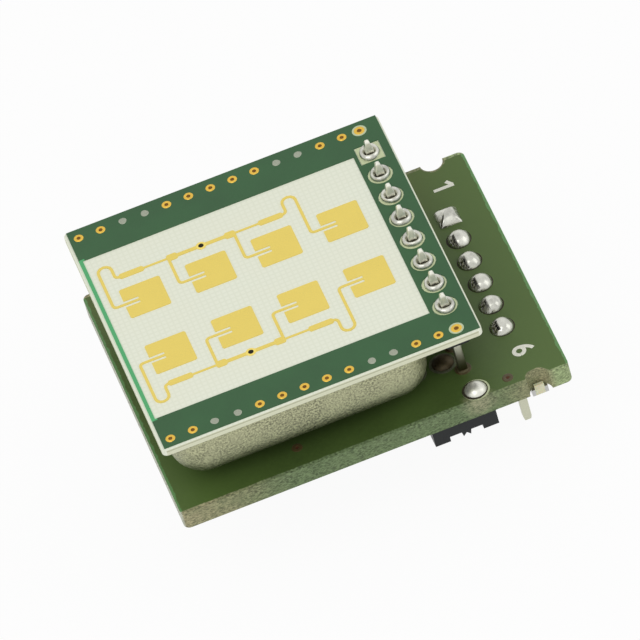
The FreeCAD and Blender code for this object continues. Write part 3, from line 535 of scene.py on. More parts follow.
def plated(name, base, roughness, metallic=1.0, grain=9000.0, depth=4e-6, dark=0.72, patches=500.0,
           contrast=0.8):
    """Metal with a fine grain in its colour, roughness and normal, and slow dull patches."""
    material, surface, place = start_material(name, roughness, metallic)
    fine = effect("Grain", Vector=place, Scale=grain, Contrast=contrast)
    dull = effect("Blotches", Vector=place, Scale=patches, Spread=0.22)["Value"]
    toned = blended(fine["Value"], scaled(base, dark), scaled(base, 1.06))
    put(surface["Base Color"], blended(times(dull, 0.5), toned, base))
    rough = maths("MULTIPLY_ADD", fine["Value"], 0.25, max(roughness - 0.1, 0.02))
    put(surface["Roughness"], rough)
    bumped(surface, fine["Height"], 0.5, depth)
    return material


def shaded_metal(name, tint, low, high, **values):
    """Plated metal with painted shade: multiplied by a dark tint below one height, and left as it is above
    another.
    """
    material = plated(name, **values)
    tree = material.node_tree
    socket = tree.nodes["Principled BSDF"].inputs["Base Color"]
    clean = socket.links[0].from_socket
    height = split(node("TexCoord", tree=tree).outputs["Object"])[2]
    clear = smooth(height, low * MM, high * MM)
    put(socket, blended(clear, vectors("MULTIPLY", clean, tint), clean))
    return material


def moulded(name, base, roughness=0.5, light=1.5):
    """Moulded plastic: a fine pebbled skin with slightly paler spots."""
    material, surface, place = start_material(name, roughness, specular=0.3)
    fine = effect("Grain", Vector=place, Scale=7000.0, Contrast=1.0)
    worn = effect("Blotches", Vector=place, Scale=900.0, Spread=0.2)["Value"]
    pale = blended(worn, base, scaled(base, light))
    put(surface["Base Color"], blended(fine["Value"], scaled(base, 0.8), pale))
    bumped(surface, fine["Height"], 0.6, 6e-6)
    return material


def mottled(name, dark, pale, roughness=0.6, specular=0.5, grain=6000.0, contrast=0.8):
    """A thin film or the shaded inside of a hole, mottled between two near colours."""
    material, surface, place = start_material(name, roughness, specular=specular)
    fine = effect("Grain", Vector=place, Scale=grain, Contrast=contrast)["Value"]
    put(surface["Base Color"], blended(fine, dark, pale))
    return material


def laminate(name):
    """Cream laminate: faint threads on its faces, and a yellower cut edge with one darker line."""
    colours = settings("board_colours")
    material, surface, place = start_material(name, 0.55)
    weave = effect("Weave", Vector=place, Threads=760.0)
    slow = effect("Blotches", Vector=place, Scale=120.0, Spread=0.3)["Value"]
    face = blended(times(weave["Value"], 0.34), colours.laminate, colours.laminate_thread)
    face = blended(times(slow, 0.25), face, colours.laminate_tone)
    inside = effect("Border", Vector=place, Middle=Vector(BOARD_MIDDLE) * MM, Ragged=0.0,
                    Half_Size=Vector((BOARD_HIGH - BOARD_LOW) / 2) * MM, Rim=0.02 * MM)["Inside"]
    height = split(place)[2]
    top = float(BOARD_HIGH[2])
    under = falling(height, (top - 0.10) * MM, (top - 0.03) * MM)
    above = smooth(height, (top - 0.20) * MM, (top - 0.12) * MM)
    line = times(times(times(under, above), 0.6), maths("SUBTRACT", 1.0, inside))
    edged = blended(inside, colours.laminate_edge, face)
    put(surface["Base Color"], blended(line, edged, colours.laminate_line))
    bumped(surface, weave["Height"], 0.15, 6e-6)
    return material


def antenna_mask(name):
    """Antenna mask: dark over copper, bright where the window's margin has no copper under it."""
    colours = settings("board_colours")
    material, surface, place = start_material(name, 0.34, specular=0.4)
    slow = effect("Blotches", Vector=place, Scale=260.0, Spread=0.3)["Value"]
    fine = effect("Grain", Vector=place, Scale=5200.0, Contrast=0.6)
    dark = blended(slow, scaled(colours.mask, 0.86), scaled(colours.mask, 1.1))
    dark = blended(times(fine["Value"], 0.3), dark, scaled(colours.mask, 1.35))
    margin = effect("Border", Vector=place, Middle=Vector((MASK_LOW[0] + 0.1, 0, 0)) * MM,
                    Half_Size=Vector((0.4, 9.3, 1)) * MM, Rim=0.1 * MM, Ragged=0.2 * MM)["Inside"]
    put(surface["Base Color"], blended(margin, dark, colours.bare_mask))
    surface["Coat Weight"].default_value = 0.1
    surface["Coat Roughness"].default_value = 0.3
    bumped(surface, fine["Height"], 0.35, 5e-6)
    return material


def along_carrier(place):
    """The distances of a point from the carrier's far end and from its output end, in metres."""
    x = split(place)[0]
    from_far = maths("SUBTRACT", x, float(CARRIER_LOW[0]) * MM)
    from_out = maths("SUBTRACT", float(CARRIER_HIGH[0]) * MM, x)
    return from_far, from_out


def carrier_border(place, extra, rim, ragged):
    """1 inside the carrier's outline, made larger by an extra where an edge doesn't count."""
    middle = Vector((CARRIER_LOW + CARRIER_HIGH) / 2) * MM
    half = Vector((CARRIER_HIGH - CARRIER_LOW) / 2 + extra) * MM
    return effect("Border", Vector=place, Middle=middle, Half_Size=half, Rim=rim * MM,
                  Ragged=ragged * MM)["Inside"]


def carrier_mask(place, colours):
    """Mask over copper, browner at the far back corner, paler at both ends, bright along the ends."""
    slow = effect("Blotches", Vector=place, Scale=170.0, Spread=0.3)["Value"]
    fine = effect("Grain", Vector=place, Scale=4200.0, Contrast=0.9)["Value"]
    over = blended(slow, scaled(colours.carrier, 0.7), scaled(colours.carrier, 1.02))
    over = blended(times(fine, 0.3), over, scaled(colours.carrier, 1.4))
    from_far, from_out = along_carrier(place)
    back = smooth(split(place)[1], 1 * MM, 13 * MM)
    aged = times(times(back, smooth(from_out, 0.4 * MM, 4.2 * MM)), 0.4)
    over = blended(aged, over, colours.aged_mask)
    # Paler towards both ends; the paleness towards the output end is painted light.
    ends = maths("MAXIMUM", falling(from_far, 0.8 * MM, 9.3 * MM),
                 times(falling(from_out, 2.2 * MM, 9.2 * MM), 1.3))
    over = blended(times(ends, 0.6), over, scaled(colours.carrier, 1.5))
    copper = carrier_border(place, (0, 1, 0), 0.19, 0.3)
    return blended(copper, colours.carrier_bare, over)


def cut_glass(place, thread, colours):
    """Grainy cut glass fibre: browner towards both ends, paler at the output end and the far face."""
    from_far, from_out = along_carrier(place)
    browner = maths("MAXIMUM", falling(from_far, 0.8 * MM, 9.3 * MM),
                    falling(from_out, 1.2 * MM, 7.2 * MM))
    base = blended(browner, colours.glass, colours.tan_glass)
    base = blended(falling(from_out, 1.0 * MM, 1.9 * MM), base, colours.pale_glass)
    base = blended(falling(from_far, 0.02 * MM, 0.15 * MM), base, colours.far_glass)
    shade = blended(thread, (0.34, 0.34, 0.34), (1.08, 1.08, 1.08))
    patches = effect("Blotches", Vector=place, Scale=650.0, Spread=0.2)["Value"]
    return blended(times(patches, 0.3), vectors("MULTIPLY", base, shade), colours.resin)


def masked(place, wander):
    """1 where the carrier's mask lies: on its faces, off the long edges and off the notches."""
    film = carrier_border(place, (1, 0, 0), 0.28, 0.16)
    x, y, z = split(place)
    middle, half = (CARRIER_LOW[2] + CARRIER_HIGH[2]) / 2, (CARRIER_HIGH[2] - CARRIER_LOW[2]) / 2
    level = maths("ABSOLUTE", maths("SUBTRACT", z, middle * MM))
    on_face = smooth(level, (half - 0.04) * MM, (half - 0.02) * MM)
    along = maths("SUBTRACT", x, NOTCH[0] * MM)
    across = maths("SUBTRACT", maths("ABSOLUTE", y), NOTCH[1] * MM)
    squares = maths("ADD", times(along, along), times(across, across))
    uneven = times(maths("SUBTRACT", wander, 0.5), 0.3 * MM)
    reach = maths("ADD", maths("SQRT", squares), uneven)
    off_notch = smooth(reach, (NOTCH_RADIUS + 0.06) * MM, (NOTCH_RADIUS + 0.16) * MM)
    return times(on_face, times(film, off_notch))


def flux_stain(place, wander, thread):
    """Dried flux that fades away from one spot, and that the glass threads break up."""
    distance = node("VectorMath", {"operation": "DISTANCE"}, _0=place, _1=FLUX_SPOT * MM)
    spread = maths("ADD", distance.outputs["Value"], times(wander, 0.9 * MM))
    broken = maths("MULTIPLY_ADD", thread, 0.5, 0.15)
    return times(falling(spread, 0.6 * MM, 2.1 * MM), broken)


def carrier(name):
    """Carrier: mask on both faces, set back from the edges and notches, and grainy cut edges."""
    colours = settings("board_colours")
    material, surface, place = start_material(name, 0.42, specular=0.3)
    fibres = node("Mapping", {"vector_type": "POINT"}, Vector=place, Scale=(0.7, 0.7, 1.5)).outputs[0]
    thread = effect("Grain", Vector=fibres, Scale=7600.0, Contrast=1.75)
    wander = noise(place, 1500.0, 3.0)
    cover = masked(place, wander)
    cut = cut_glass(place, thread["Value"], colours)
    skin = blended(cover, cut, carrier_mask(place, colours))
    stain = flux_stain(place, wander, thread["Value"])
    put(surface["Base Color"], blended(stain, skin, colours.stain))
    put(surface["Roughness"], maths("MULTIPLY_ADD", cover, -0.3, 0.68))
    bumped(surface, thread["Height"], 0.45, 8e-6)
    return material


def lamp_body(name):
    """Cream lamp body with darker patches, slightly translucent-looking."""
    colours = settings("plastic_colours")
    material, surface, place = start_material(name, 0.3)
    slow = effect("Blotches", Vector=place, Scale=1500.0, Spread=0.18)["Value"]
    put(surface["Base Color"], blended(slow, colours.light, colours.light_tone))
    surface["Subsurface Weight"].default_value = 0.15
    surface["Subsurface Scale"].default_value = 0.4 * MM
    return material


def finishes():
    """The maker of every finish, each of which is called with the material's name."""
    boards, metals, plastics = map(settings, ("board_colours", "metal_colours", "plastic_colours"))
    inside = {"specular": 0.2, "grain": 8000.0, "contrast": 1.0}
    return {
        "laminate": laminate,
        "front_mask": antenna_mask,
        "carrier": carrier,
        "light": lamp_body,
        "hole": lambda name: mottled(name, display(84, 54, 14), display(150, 104, 38), **inside),
        "sunk_hole": lambda name: mottled(name, display(54, 36, 22), display(108, 66, 44), **inside),
        "deep_hole": lambda name: mottled(name, display(16, 14, 8), display(34, 28, 14), **inside),
        # The flux finish is the dark film of the rings round the joints: painted shade, with some dark flux
        # round the domes.
        "flux": lambda name: mottled(name, display(34, 34, 24), display(66, 60, 42), **inside),
        "print": lambda name: mottled(name, scaled(boards.print, 0.8), boards.print),
        "bare_ring": lambda name: mottled(name, display(176, 196, 150), display(214, 222, 190)),
        "tented": lambda name: mottled(name, display(66, 68, 36), display(92, 68, 40), roughness=0.4),
        "antenna_gold": lambda name: plated(name, metals.copper_gold, 0.46, 0.85, dark=0.86),
        "feed_gold": lambda name: plated(name, scaled(metals.copper_gold, 1.12), 0.4, 0.8, dark=0.9),
        "via_gold": lambda name: plated(name, metals.ring_gold, 0.34, dark=0.7),
        "via_solder": lambda name: plated(name, metals.old_solder, 0.5, 0.7, depth=2e-5, dark=0.7),
        "solder": lambda name: plated(
            name, metals.solder, 0.22, grain=1500.0, depth=1.6e-5, dark=0.6, contrast=1.8),
        # Painted light: a brighter, less mirror-like copy of the solder for the lit front trimmer joint.
        "wet_solder": lambda name: plated(
            name, scaled(metals.solder, 1.15), 0.36, 0.75, grain=2600.0, depth=2e-5, dark=0.85),
        # Painted shade: the dark solder of the two trimmer joints in the shade.
        "stained": lambda name: plated(
            name, metals.stained_solder, 0.5, 0.7, grain=3600.0, depth=2e-5, dark=0.5, contrast=1.6),
        "foot": lambda name: plated(name, metals.foot, 0.5, 0.5, grain=3600.0, dark=0.5),
        "bright_pad": lambda name: plated(
            name, scaled(metals.pad_rim, 1.5), 0.34, 0.5, grain=3000.0, dark=0.8),
        # Painted shade: the pad rim darkened for the trimmer legs in the shade; the lit front leg's pad
        # takes bright_pad.
        "leg_pad": lambda name: plated(name, scaled(metals.pad_rim, 0.4), 0.4, 0.5, grain=5000.0, dark=0.7),
        "output_pin": lambda name: plated(name, metals.pin, 0.38, 0.9, dark=0.84),
        "rotor": lambda name: plated(name, metals.pin, 0.4, 0.9, dark=0.7),
        "lead": lambda name: plated(name, metals.tin, 0.34, dark=0.75),
        # Painted shade: the header pins darken towards the carrier, in the shade between the boards.
        "stack_pin": lambda name: shaded_metal(
            name, (0.12, 0.11, 0.05), DECK, DECK + 4, base=metals.header_pin, roughness=0.34, dark=0.86),
        # Painted shade and reflection: the can darkens to a greener tint towards its lower edge.
        "can": lambda name: shaded_metal(
            name, (0.36, 0.42, 0.36), CAN_LOW[2], CAN_LOW[2] + 4, base=metals.can, roughness=0.42,
            metallic=0.9, grain=6600.0, depth=1.2e-4, dark=0.27, patches=300.0, contrast=2.1),
        "insulator": lambda name: moulded(name, plastics.insulator),
        "package": lambda name: moulded(name, plastics.package, 0.6),
        "trimmer": lambda name: moulded(name, plastics.trimmer, 0.42),
        "ceramic": lambda name: moulded(name, plastics.ceramic, 0.6, light=1.05),
        "capacitor": lambda name: moulded(name, plastics.capacitor, light=1.15),
        "resistor": lambda name: moulded(name, plastics.resistor, 0.3),
    }


def material_named(name):
    """The module's finish of that name, made when it is first asked for."""
    title = "finish_" + name
    return bpy.data.materials.get(title) or finishes()[name](title)


# Pieces


class RADAR_OT_frame_finish(bpy.types.Operator):
    """Give every CAD node the finish of its material slot"""
    bl_idname = "radar.frame_finish"
    bl_label = "Finish the CAD nodes"

    def execute(self, context):
        for part in frame["record"]["subparts"]:
            slots = frame["nodes"][part["node"]].material_slots
            if not slots:
                raise RuntimeError(part["node"] + " has no place for a material")
            slots[0].material = material_named(part["material_slot"])
        return {"FINISHED"}


class RADAR_OT_can(bpy.types.Operator):
    """Draw the shield can as one smooth sheet with a wall, in place of its CAD node"""
    bl_idname = "radar.can"
    bl_label = "Shield can"

    def execute(self, context):
        middle = (CAN_LOW + CAN_HIGH) / 2
        shell = moved(self.shell(settings("can_sizes")), middle[0], middle[1], CAN_HIGH[2])
        build("can_shell", [shell], "can", ["shield_can"])
        return {"FINISHED"}

    @staticmethod
    def shell(sizes):
        """Outlines up the outside of the sheet, over its lip and down the inside.

        Each outline is a rounded rectangle, set in by an inset and at its own height: along the
        wall the inset stays, round the lower edge it follows a quarter circle, and over the floor
        the outline shrinks to its middle.
        """
        half = (CAN_HIGH - CAN_LOW) / 2
        depth = CAN_HIGH[2] - CAN_LOW[2]
        turn = np.linspace(0, np.pi / 2, 13)
        shrink = np.linspace(1, 0.02, 8)[1:]

        def skin(wall):
            reach = sizes.edge - wall
            inset = wall + np.concatenate([[0.0, 0.0], reach * (1 - np.cos(turn[1:]))])
            bend = -(depth - sizes.edge) - reach * np.sin(turn[1:])
            height = np.concatenate([[0.0, sizes.edge - depth], bend])
            corner = np.maximum(sizes.corner - inset, 0.2)
            outline = rounded_outline(half[0] - inset, half[1] - inset, corner)
            floor = outline[-1:] * shrink[:, None, None]
            hollow = sizes.dent * (1 - shrink ** 2)
            return lifted(np.concatenate([outline, floor]), np.concatenate([height, height[-1] + hollow]))

        return np.concatenate([skin(0.0)[::-1], skin(sizes.wall)])


class RADAR_OT_solder(bpy.types.Operator):
    """Make the solder joints: collars on the antenna board, domes on the carrier"""
    bl_idname = "radar.solder"
    bl_label = "Solder joints"

    def execute(self, context):
        sizes = settings("solder_sizes")
        random = np.random.default_rng(sizes.seed)
        self.header_joints(sizes, random)
        self.output_joints(sizes, random)
        self.leg_joints(sizes, random)
        self.carrier_joints(sizes, random)
        return {"FINISHED"}

    def header_joints(self, sizes, random):
        """The collars round the header pins on the antenna board, with a dark hollow of painted shade in
        each.
        """
        top = STACK_PAD_HIGH[2]
        collars = copies(lambda: self.collar(sizes, random), STACK_SPOTS, top)
        build("antenna_collars", collars, "solder", ["antenna_joints"])
        aside = (-0.01, -0.12)
        hollows = copies(self.hollow, np.array(STACK_SPOTS) + aside, top)
        build("joint_hollows", hollows, "flux")

    def output_joints(self, sizes, random):
        """The output pins' domes, of which the first is square, with a dark ring round the others: painted
        shade, with some dark flux.
        """
        domes = [
            moved(self.dome(sizes.dome_radius, sizes.dome_rise, square, sizes, random), x, y, DECK)
            for (x, y), square in zip(OUTPUT_SPOTS, [16.0] + [2.2] * (OUTPUT_WAYS - 1))
        ]
        build("output_domes", domes, "solder", ["output_solder"])
        grooves = copies(lambda: self.groove(sizes.dome_radius, 0.09, 0.022), OUTPUT_SPOTS[1:], DECK)
        build("output_grooves", grooves, "flux")

    def leg_joints(self, sizes, random):
        """The trimmer legs' domes: a brighter front one as painted light, with its ring, and two darkened
        as painted shade.
        """
        radius, rise = sizes.leg_radius, sizes.leg_rise
        domes = copies(lambda: self.dome(radius, rise, 2.0, sizes, random), LEG_SPOTS, DECK)
        build("front_leg_dome", domes[:1], "wet_solder", ["trimmer_solder"])
        build("shaded_leg_domes", domes[1:], "stained", ["trimmer_solder"])
        aside = (-0.07, 0.02)
        top = DECK + PAD_THICKNESS
        groove = copies(lambda: self.groove(radius, 0.13, 0.035), LEG_SPOTS[:1] + aside, top)
        build("front_leg_groove", groove, "flux")

    def carrier_joints(self, sizes, random):
        """The header pins' solder on the carrier: rings above, each on its land, and collars below."""
        rings = copies(lambda: self.foot_ring(sizes, random), STACK_SPOTS, DECK)
        build("pin_foot_rings", rings, "foot")
        build("pin_foot_lands", copies(self.land, STACK_SPOTS, DECK), "tented")
        low, high = edges_of("carrier_joints")
        foot, drop = (high[0] - low[0]) / 2, high[2] - low[2]
        hanging = copies(lambda: self.hanging_collar(foot, drop, sizes, random), STACK_SPOTS, high[2])
        build("carrier_collars", hanging, "solder", ["carrier_joints"])

    @staticmethod
    def collar(sizes, random, sides=48):
        """Solder round a pin: half a wave of height over the radius, steeper outside than inside."""
        share = np.linspace(0, 1, 18)
        radius = sizes.collar_foot + (NECK - sizes.collar_foot) * share
        height = sizes.collar_rise * np.sin(np.pi * share ** 0.75) ** 0.8
        height[-1] = 0.35 * sizes.collar_rise
        lumps = lump_field(len(share), sides, sizes.lumps, random)
        return turned(radius, np.maximum(height, 0), 2 + 2 * share ** 2, sides, lumps)

    @staticmethod
    def hollow(sides=32):
        """The ring of painted shade between a joint and its pin: half a wave high, narrow and close to the
        pin.
        """
        share = np.linspace(0, 1, 9)
        return turned(0.36 - 0.16 * share, 0.15 + 0.1 * np.sin(share * np.pi), 2.4, sides)

    @staticmethod
    def groove(foot, outwards, rise, sides=56):
        """A thin dark ring round a joint's foot, painted shade with some dark flux: half a wave high, from
        outside the foot inwards.
        """
        share = np.linspace(0, 1, 9)
        radius = foot + outwards - (outwards + 0.07) * share
        return turned(radius, rise * np.sin(share * np.pi), sides=sides)

    @staticmethod
    def dome(radius, rise, squareness, sizes, random, sides=56):
        """A wetted dome: a steep foot, a round shoulder and a small flat where the pin ends."""
        share = np.linspace(0, 1, 18)
        ring = radius * (1 - 0.9 * share ** 1.5)
        height = rise * np.sin(share * np.pi / 2) ** 1.1
        square = squareness + (2 + squareness / 8 - squareness) * np.minimum(share * 1.3, 1)
        lumps = lump_field(len(share), sides, sizes.lumps * 0.8, random)
        return turned(ring, height, square, sides, lumps)

    @staticmethod
    def foot_ring(sizes, random, sides=32):
        """A low collar of solder that has run through the carrier's hole: half an ellipse in height."""
        turn = np.linspace(0, np.pi / 2, 9)
        lumps = lump_field(len(turn), sides, sizes.lumps * 2, random)
        return turned(0.36 + 0.14 * np.cos(turn), 0.16 * np.sin(turn), sides=sides, lumps=lumps)

    @staticmethod
    def land(sides=40):
        """The plated ring round a pin's hole: a soft rim, and a dip towards the hole."""
        return turned([0.64, 0.63, 0.6, 0.5, 0.42], [0, 0.012, 0.016, 0.014, 0.008], sides=sides)

    @staticmethod
    def hanging_collar(foot, drop, sizes, random, sides=48):
        """Solder that hangs under the board: its radius falls by a power of the depth below the foot."""
        down = np.linspace(1, 0, 14)
        radius = NECK + (foot - NECK) * (1 - down) ** 2.2
        lumps = lump_field(len(down), sides, sizes.lumps, random)[::-1]
        fading = lumps * (1 - down[:, None] ** 2) * 0.5
        return turned(np.minimum(radius, foot / 1.05), -drop * down, 2 + 4 * down ** 2, sides, fading)


GROUND_VIAS = 13
FILLED_VIAS = (2, 3, 9, 10)

# The vias' pieces: a shape, its sizes, where it stands, its finish, its slot and what it replaces.
# An eyelet has an outer and an inner radius and a thickness, a mouth has a radius and a rise.
# The via, corner and feed mouths are dark bowls on the closed rings: painted shade for the inside of the
# holes.
VIA_PIECES = {
    "ground_rings": ("eyelet", (0.365, 0.15, 0.03), "open", "via_gold", "via_gold", ["ground_vias"]),
    "via_mouths": ("mouth", (0.15, 0.014), "open", "hole", "via_gold", ()),
    "via_fillings": ("filling", (0.31,), "filled", "via_solder", "via_solder", ["filled_vias"]),
    "corner_rings": ("eyelet", (0.42, 0.17, 0.03), "corner", "via_gold", "via_gold", ["corner_vias"]),
    "corner_halos": ("eyelet", (0.56, 0.38, 0.006), "corner", "bare_ring", "laminate", ()),
    "corner_mouths": ("mouth", (0.19, 0.012), "corner", "hole", "via_gold", ()),
    "tented_rings": ("eyelet", (0.42, 0.13, 0.02), "tented", "tented", "carrier", ()),
    "tented_mouths": ("mouth", (0.16, 0.006), "tented", "sunk_hole", "carrier", ()),
    "feed_rings": ("eyelet", (0.385, 0.2, 0.016), "feed", "feed_gold", "antenna_gold", ()),
    "feed_mouths": ("mouth", (0.23, 0.006), "feed", "deep_hole", "antenna_gold", ()),
}


class RADAR_OT_vias(bpy.types.Operator):
    """Make the rings, holes and solder fillings of the vias on both boards"""
    bl_idname = "radar.vias"
    bl_label = "Vias"

    first: length("First via", "Place of the first ground via along X", -26.29, -50)
    pitch: length("Via pitch", "Distance between ground vias", 1.745)
    row: length("Via row", "Distance of the rows from the middle", 11.48)
    feed_x: length("Feed place", "Place of the feed holes along X, from the middle", -3.53, -12)
    feed_y: length("Feed row", "Distance of the feed holes from the middle", 6.12)
    seed: IntProperty(name="Seed", description="Chooses the unevenness of the fillings", default=3)

    def execute(self, context):
        random = np.random.default_rng(self.seed)
        shapes = {
            "eyelet": self.eyelet,
            "mouth": self.mouth,
            "filling": lambda radius: self.filling(radius, random),
        }
        places = self.places()
        for name, (shape, sizes, where, finish, slot, replaced) in VIA_PIECES.items():
            grids = copies(lambda: shapes[shape](*sizes), *places[where])
            build(name, grids, finish, replaced)
        return {"FINISHED"}

    def places(self):
        """The places of each kind of via, and the height of the sheet that they lie on."""
        ground = {
            full: [
                (self.first + self.pitch * index, side * self.row)
                for side in (1, -1) for index in range(GROUND_VIAS) if (index in FILLED_VIAS) == full
            ]
            for full in (False, True)
        }
        low, high = edges_of("corner_vias")
        corner_x, feed_x = (low[0] + high[0]) / 2, BOARD_MIDDLE[0] + self.feed_x
        return {
            "open": (ground[False], MASK_HIGH[2]),
            "filled": (ground[True], MASK_HIGH[2]),
            "corner": ([(corner_x, self.row), (corner_x, -self.row)], MASK_HIGH[2]),
            "tented": (TENTED_SPOTS, DECK),
            "feed": ([(feed_x, self.feed_y), (feed_x, -self.feed_y)], edges_of("upper_array")[1][2]),
        }

    @staticmethod
    def eyelet(outer, inner, thick, sides=40):
        """A land with a rounded rim: its height over the radius is a flattened half wave."""
        share = np.linspace(0, 1, 9)
        height = thick * np.minimum(1, np.sin(share * np.pi) * 2.2)
        return turned(outer + (inner - outer) * share, height, sides=sides)

    @staticmethod
    def mouth(radius, rise, sides=32):
        """The dark bowl of a hole: a rim, and a floor that sinks by a cosine towards its middle."""
        share = np.linspace(1, 0.06, 8)
        floor = rise * (0.3 + 0.7 * (1 - np.cos(share * np.pi / 2)) ** 2)
        return turned(radius * np.concatenate([[1.0], share]), np.concatenate([[0.0], floor]), sides=sides)

    @staticmethod
    def filling(radius, random, sides=32):
        """Uneven solder that fills a via: a low cap with lumps round it."""
        turn = np.linspace(0, 1, 9) * np.pi / 2
        lumps = lump_field(len(turn), sides, 0.1, random)
        return turned(radius * np.cos(turn * 0.93), 0.03 * np.sin(turn), sides=sides, lumps=lumps)


class RADAR_OT_pads(bpy.types.Operator):
    """Make the plated pads round the header pins and the trimmer's legs"""
    bl_idname = "radar.pads"
    bl_label = "Pads"

    def execute(self, context):
        half = (STACK_PAD_HIGH[0] - STACK_PAD_LOW[0]) / 2
        thick = STACK_PAD_HIGH[2] - STACK_PAD_LOW[2]
        pads = [
            moved(self.pad(half, square, thick), x, y, STACK_PAD_LOW[2])
            for (x, y), square in zip(STACK_SPOTS, [24.0] + [2.0] * (STACK_WAYS - 1))
        ]
        build("header_pads", pads, "bright_pad", ["stack_pads"], sharp=30)
        pads = copies(lambda: self.pad(LEG_PAD, 2.0, PAD_THICKNESS), LEG_SPOTS, DECK)
        # The front leg's pad is lit and the other two lie in shade: lighter and darker copies of one pad
        # rim, painted light and painted shade.
        build("front_leg_pad", pads[:1], "bright_pad", sharp=30)
        build("shaded_leg_pads", pads[1:], "leg_pad", sharp=30)
        return {"FINISHED"}

    @staticmethod
    def pad(half, squareness, thick, sides=64):
        """A low plate whose upper rim is slightly rounded."""
        radius = half - np.array([0, 0, 0.008, 0.03])
        height = thick * np.array([0, 0.6, 0.9, 1.0])
        return turned(radius, height, squareness, sides)


class RADAR_OT_pins(bpy.types.Operator):
    """Make the two rows of square pins, with soft edges and drawn tips"""
    bl_idname = "radar.pins"
    bl_label = "Pins"

    def execute(self, context):
        pin = self.pin(STACK_LOW[2], STACK_HIGH[2], pointed_top=True, taper=0.9, tip=0.14)
        pins = copies(lambda: pin, STACK_SPOTS, 0)
        build("header_pins", pins, "stack_pin", ["stack_pins"], sharp=35)
        pin = self.pin(OUTPUT_LOW[2], OUTPUT_HIGH[2], pointed_top=False, taper=0.4, tip=0.24)
        pins = copies(lambda: pin, OUTPUT_SPOTS, 0)
        build("connector_pins", pins, "output_pin", ["output_pins"], sharp=35)
        return {"FINISHED"}

    @staticmethod
    def pin(low, high, pointed_top, taper, tip, side=0.64, sides=40):
        """Squares with soft corners: half the side, narrowing evenly to a tip that ends small."""
        share = np.linspace(0, 1, 7)
        half = side / 2
        narrowing = tip + (half - tip) * share
        narrowing[0] *= 0.6
        radius = np.concatenate([narrowing, [half, half]])
        height = np.concatenate([low + taper * share ** 1.15, [low + taper * 1.1, high - taper * 1.1]])
        if pointed_top:
            radius = np.concatenate([radius, narrowing[::-1]])
            height = np.concatenate([height, high - taper * share[::-1] ** 1.15])
        else:
            radius = np.concatenate([radius, [half]])
            height = np.concatenate([height, [high]])
        return turned(radius, height, 9.0, sides)


class RADAR_OT_numerals(bpy.types.Operator):
    """Print the numerals 1 and 6 beside the first and last output pin"""
    bl_idname = "radar.numerals"
    bl_label = "Numerals"

    stroke: length("Stroke", "Width of the printed lines", 0.3)
    height: length("Height", "Height of a numeral", 1.6)

    def execute(self, context):
        strokes = [self.placed(path, ONE_SPOT) for path in self.one()]
        strokes += [self.placed(path, SIX_SPOT) for path in self.six()]
        # Each stroke lies a little higher than the one before, so that no faces share a plane
        grids = [
            ribbon(path, self.stroke, DECK, DECK + 0.01 + 0.003 * layer)
            for layer, path in enumerate(strokes)
        ]
        build("printed_numerals", grids, "print")
        return {"FINISHED"}

    def placed(self, path, spot):
        """A path drawn one unit high, turned to read along -Y and set on its spot."""
        path = path * self.height
        return np.stack([spot[0] + path[:, 1], spot[1] - path[:, 0]], axis=-1)

    @staticmethod
    def one():
        """A stem and a short flag."""
        stem = np.stack([np.full(8, 0.0), np.linspace(-0.5, 0.5, 8)], axis=-1)
        flag = np.stack([np.linspace(-0.34, -0.02, 5), np.linspace(0.2, 0.44, 5)], axis=-1)
        return [stem, flag]

    @staticmethod
    def six():
        """A bowl, and a stem that leaves it at the left and curls over at the top."""
        turn = np.linspace(0, 2 * np.pi, 33)
        bowl = np.stack([0.24 * np.cos(turn), -0.24 + 0.24 * np.sin(turn)], axis=-1)
        turn = np.linspace(np.pi, 0.62 * np.pi, 14)
        stem = np.stack([0.28 + 0.52 * np.cos(turn), -0.24 + 0.7 * np.sin(turn)], axis=-1)
        return [bowl, stem]


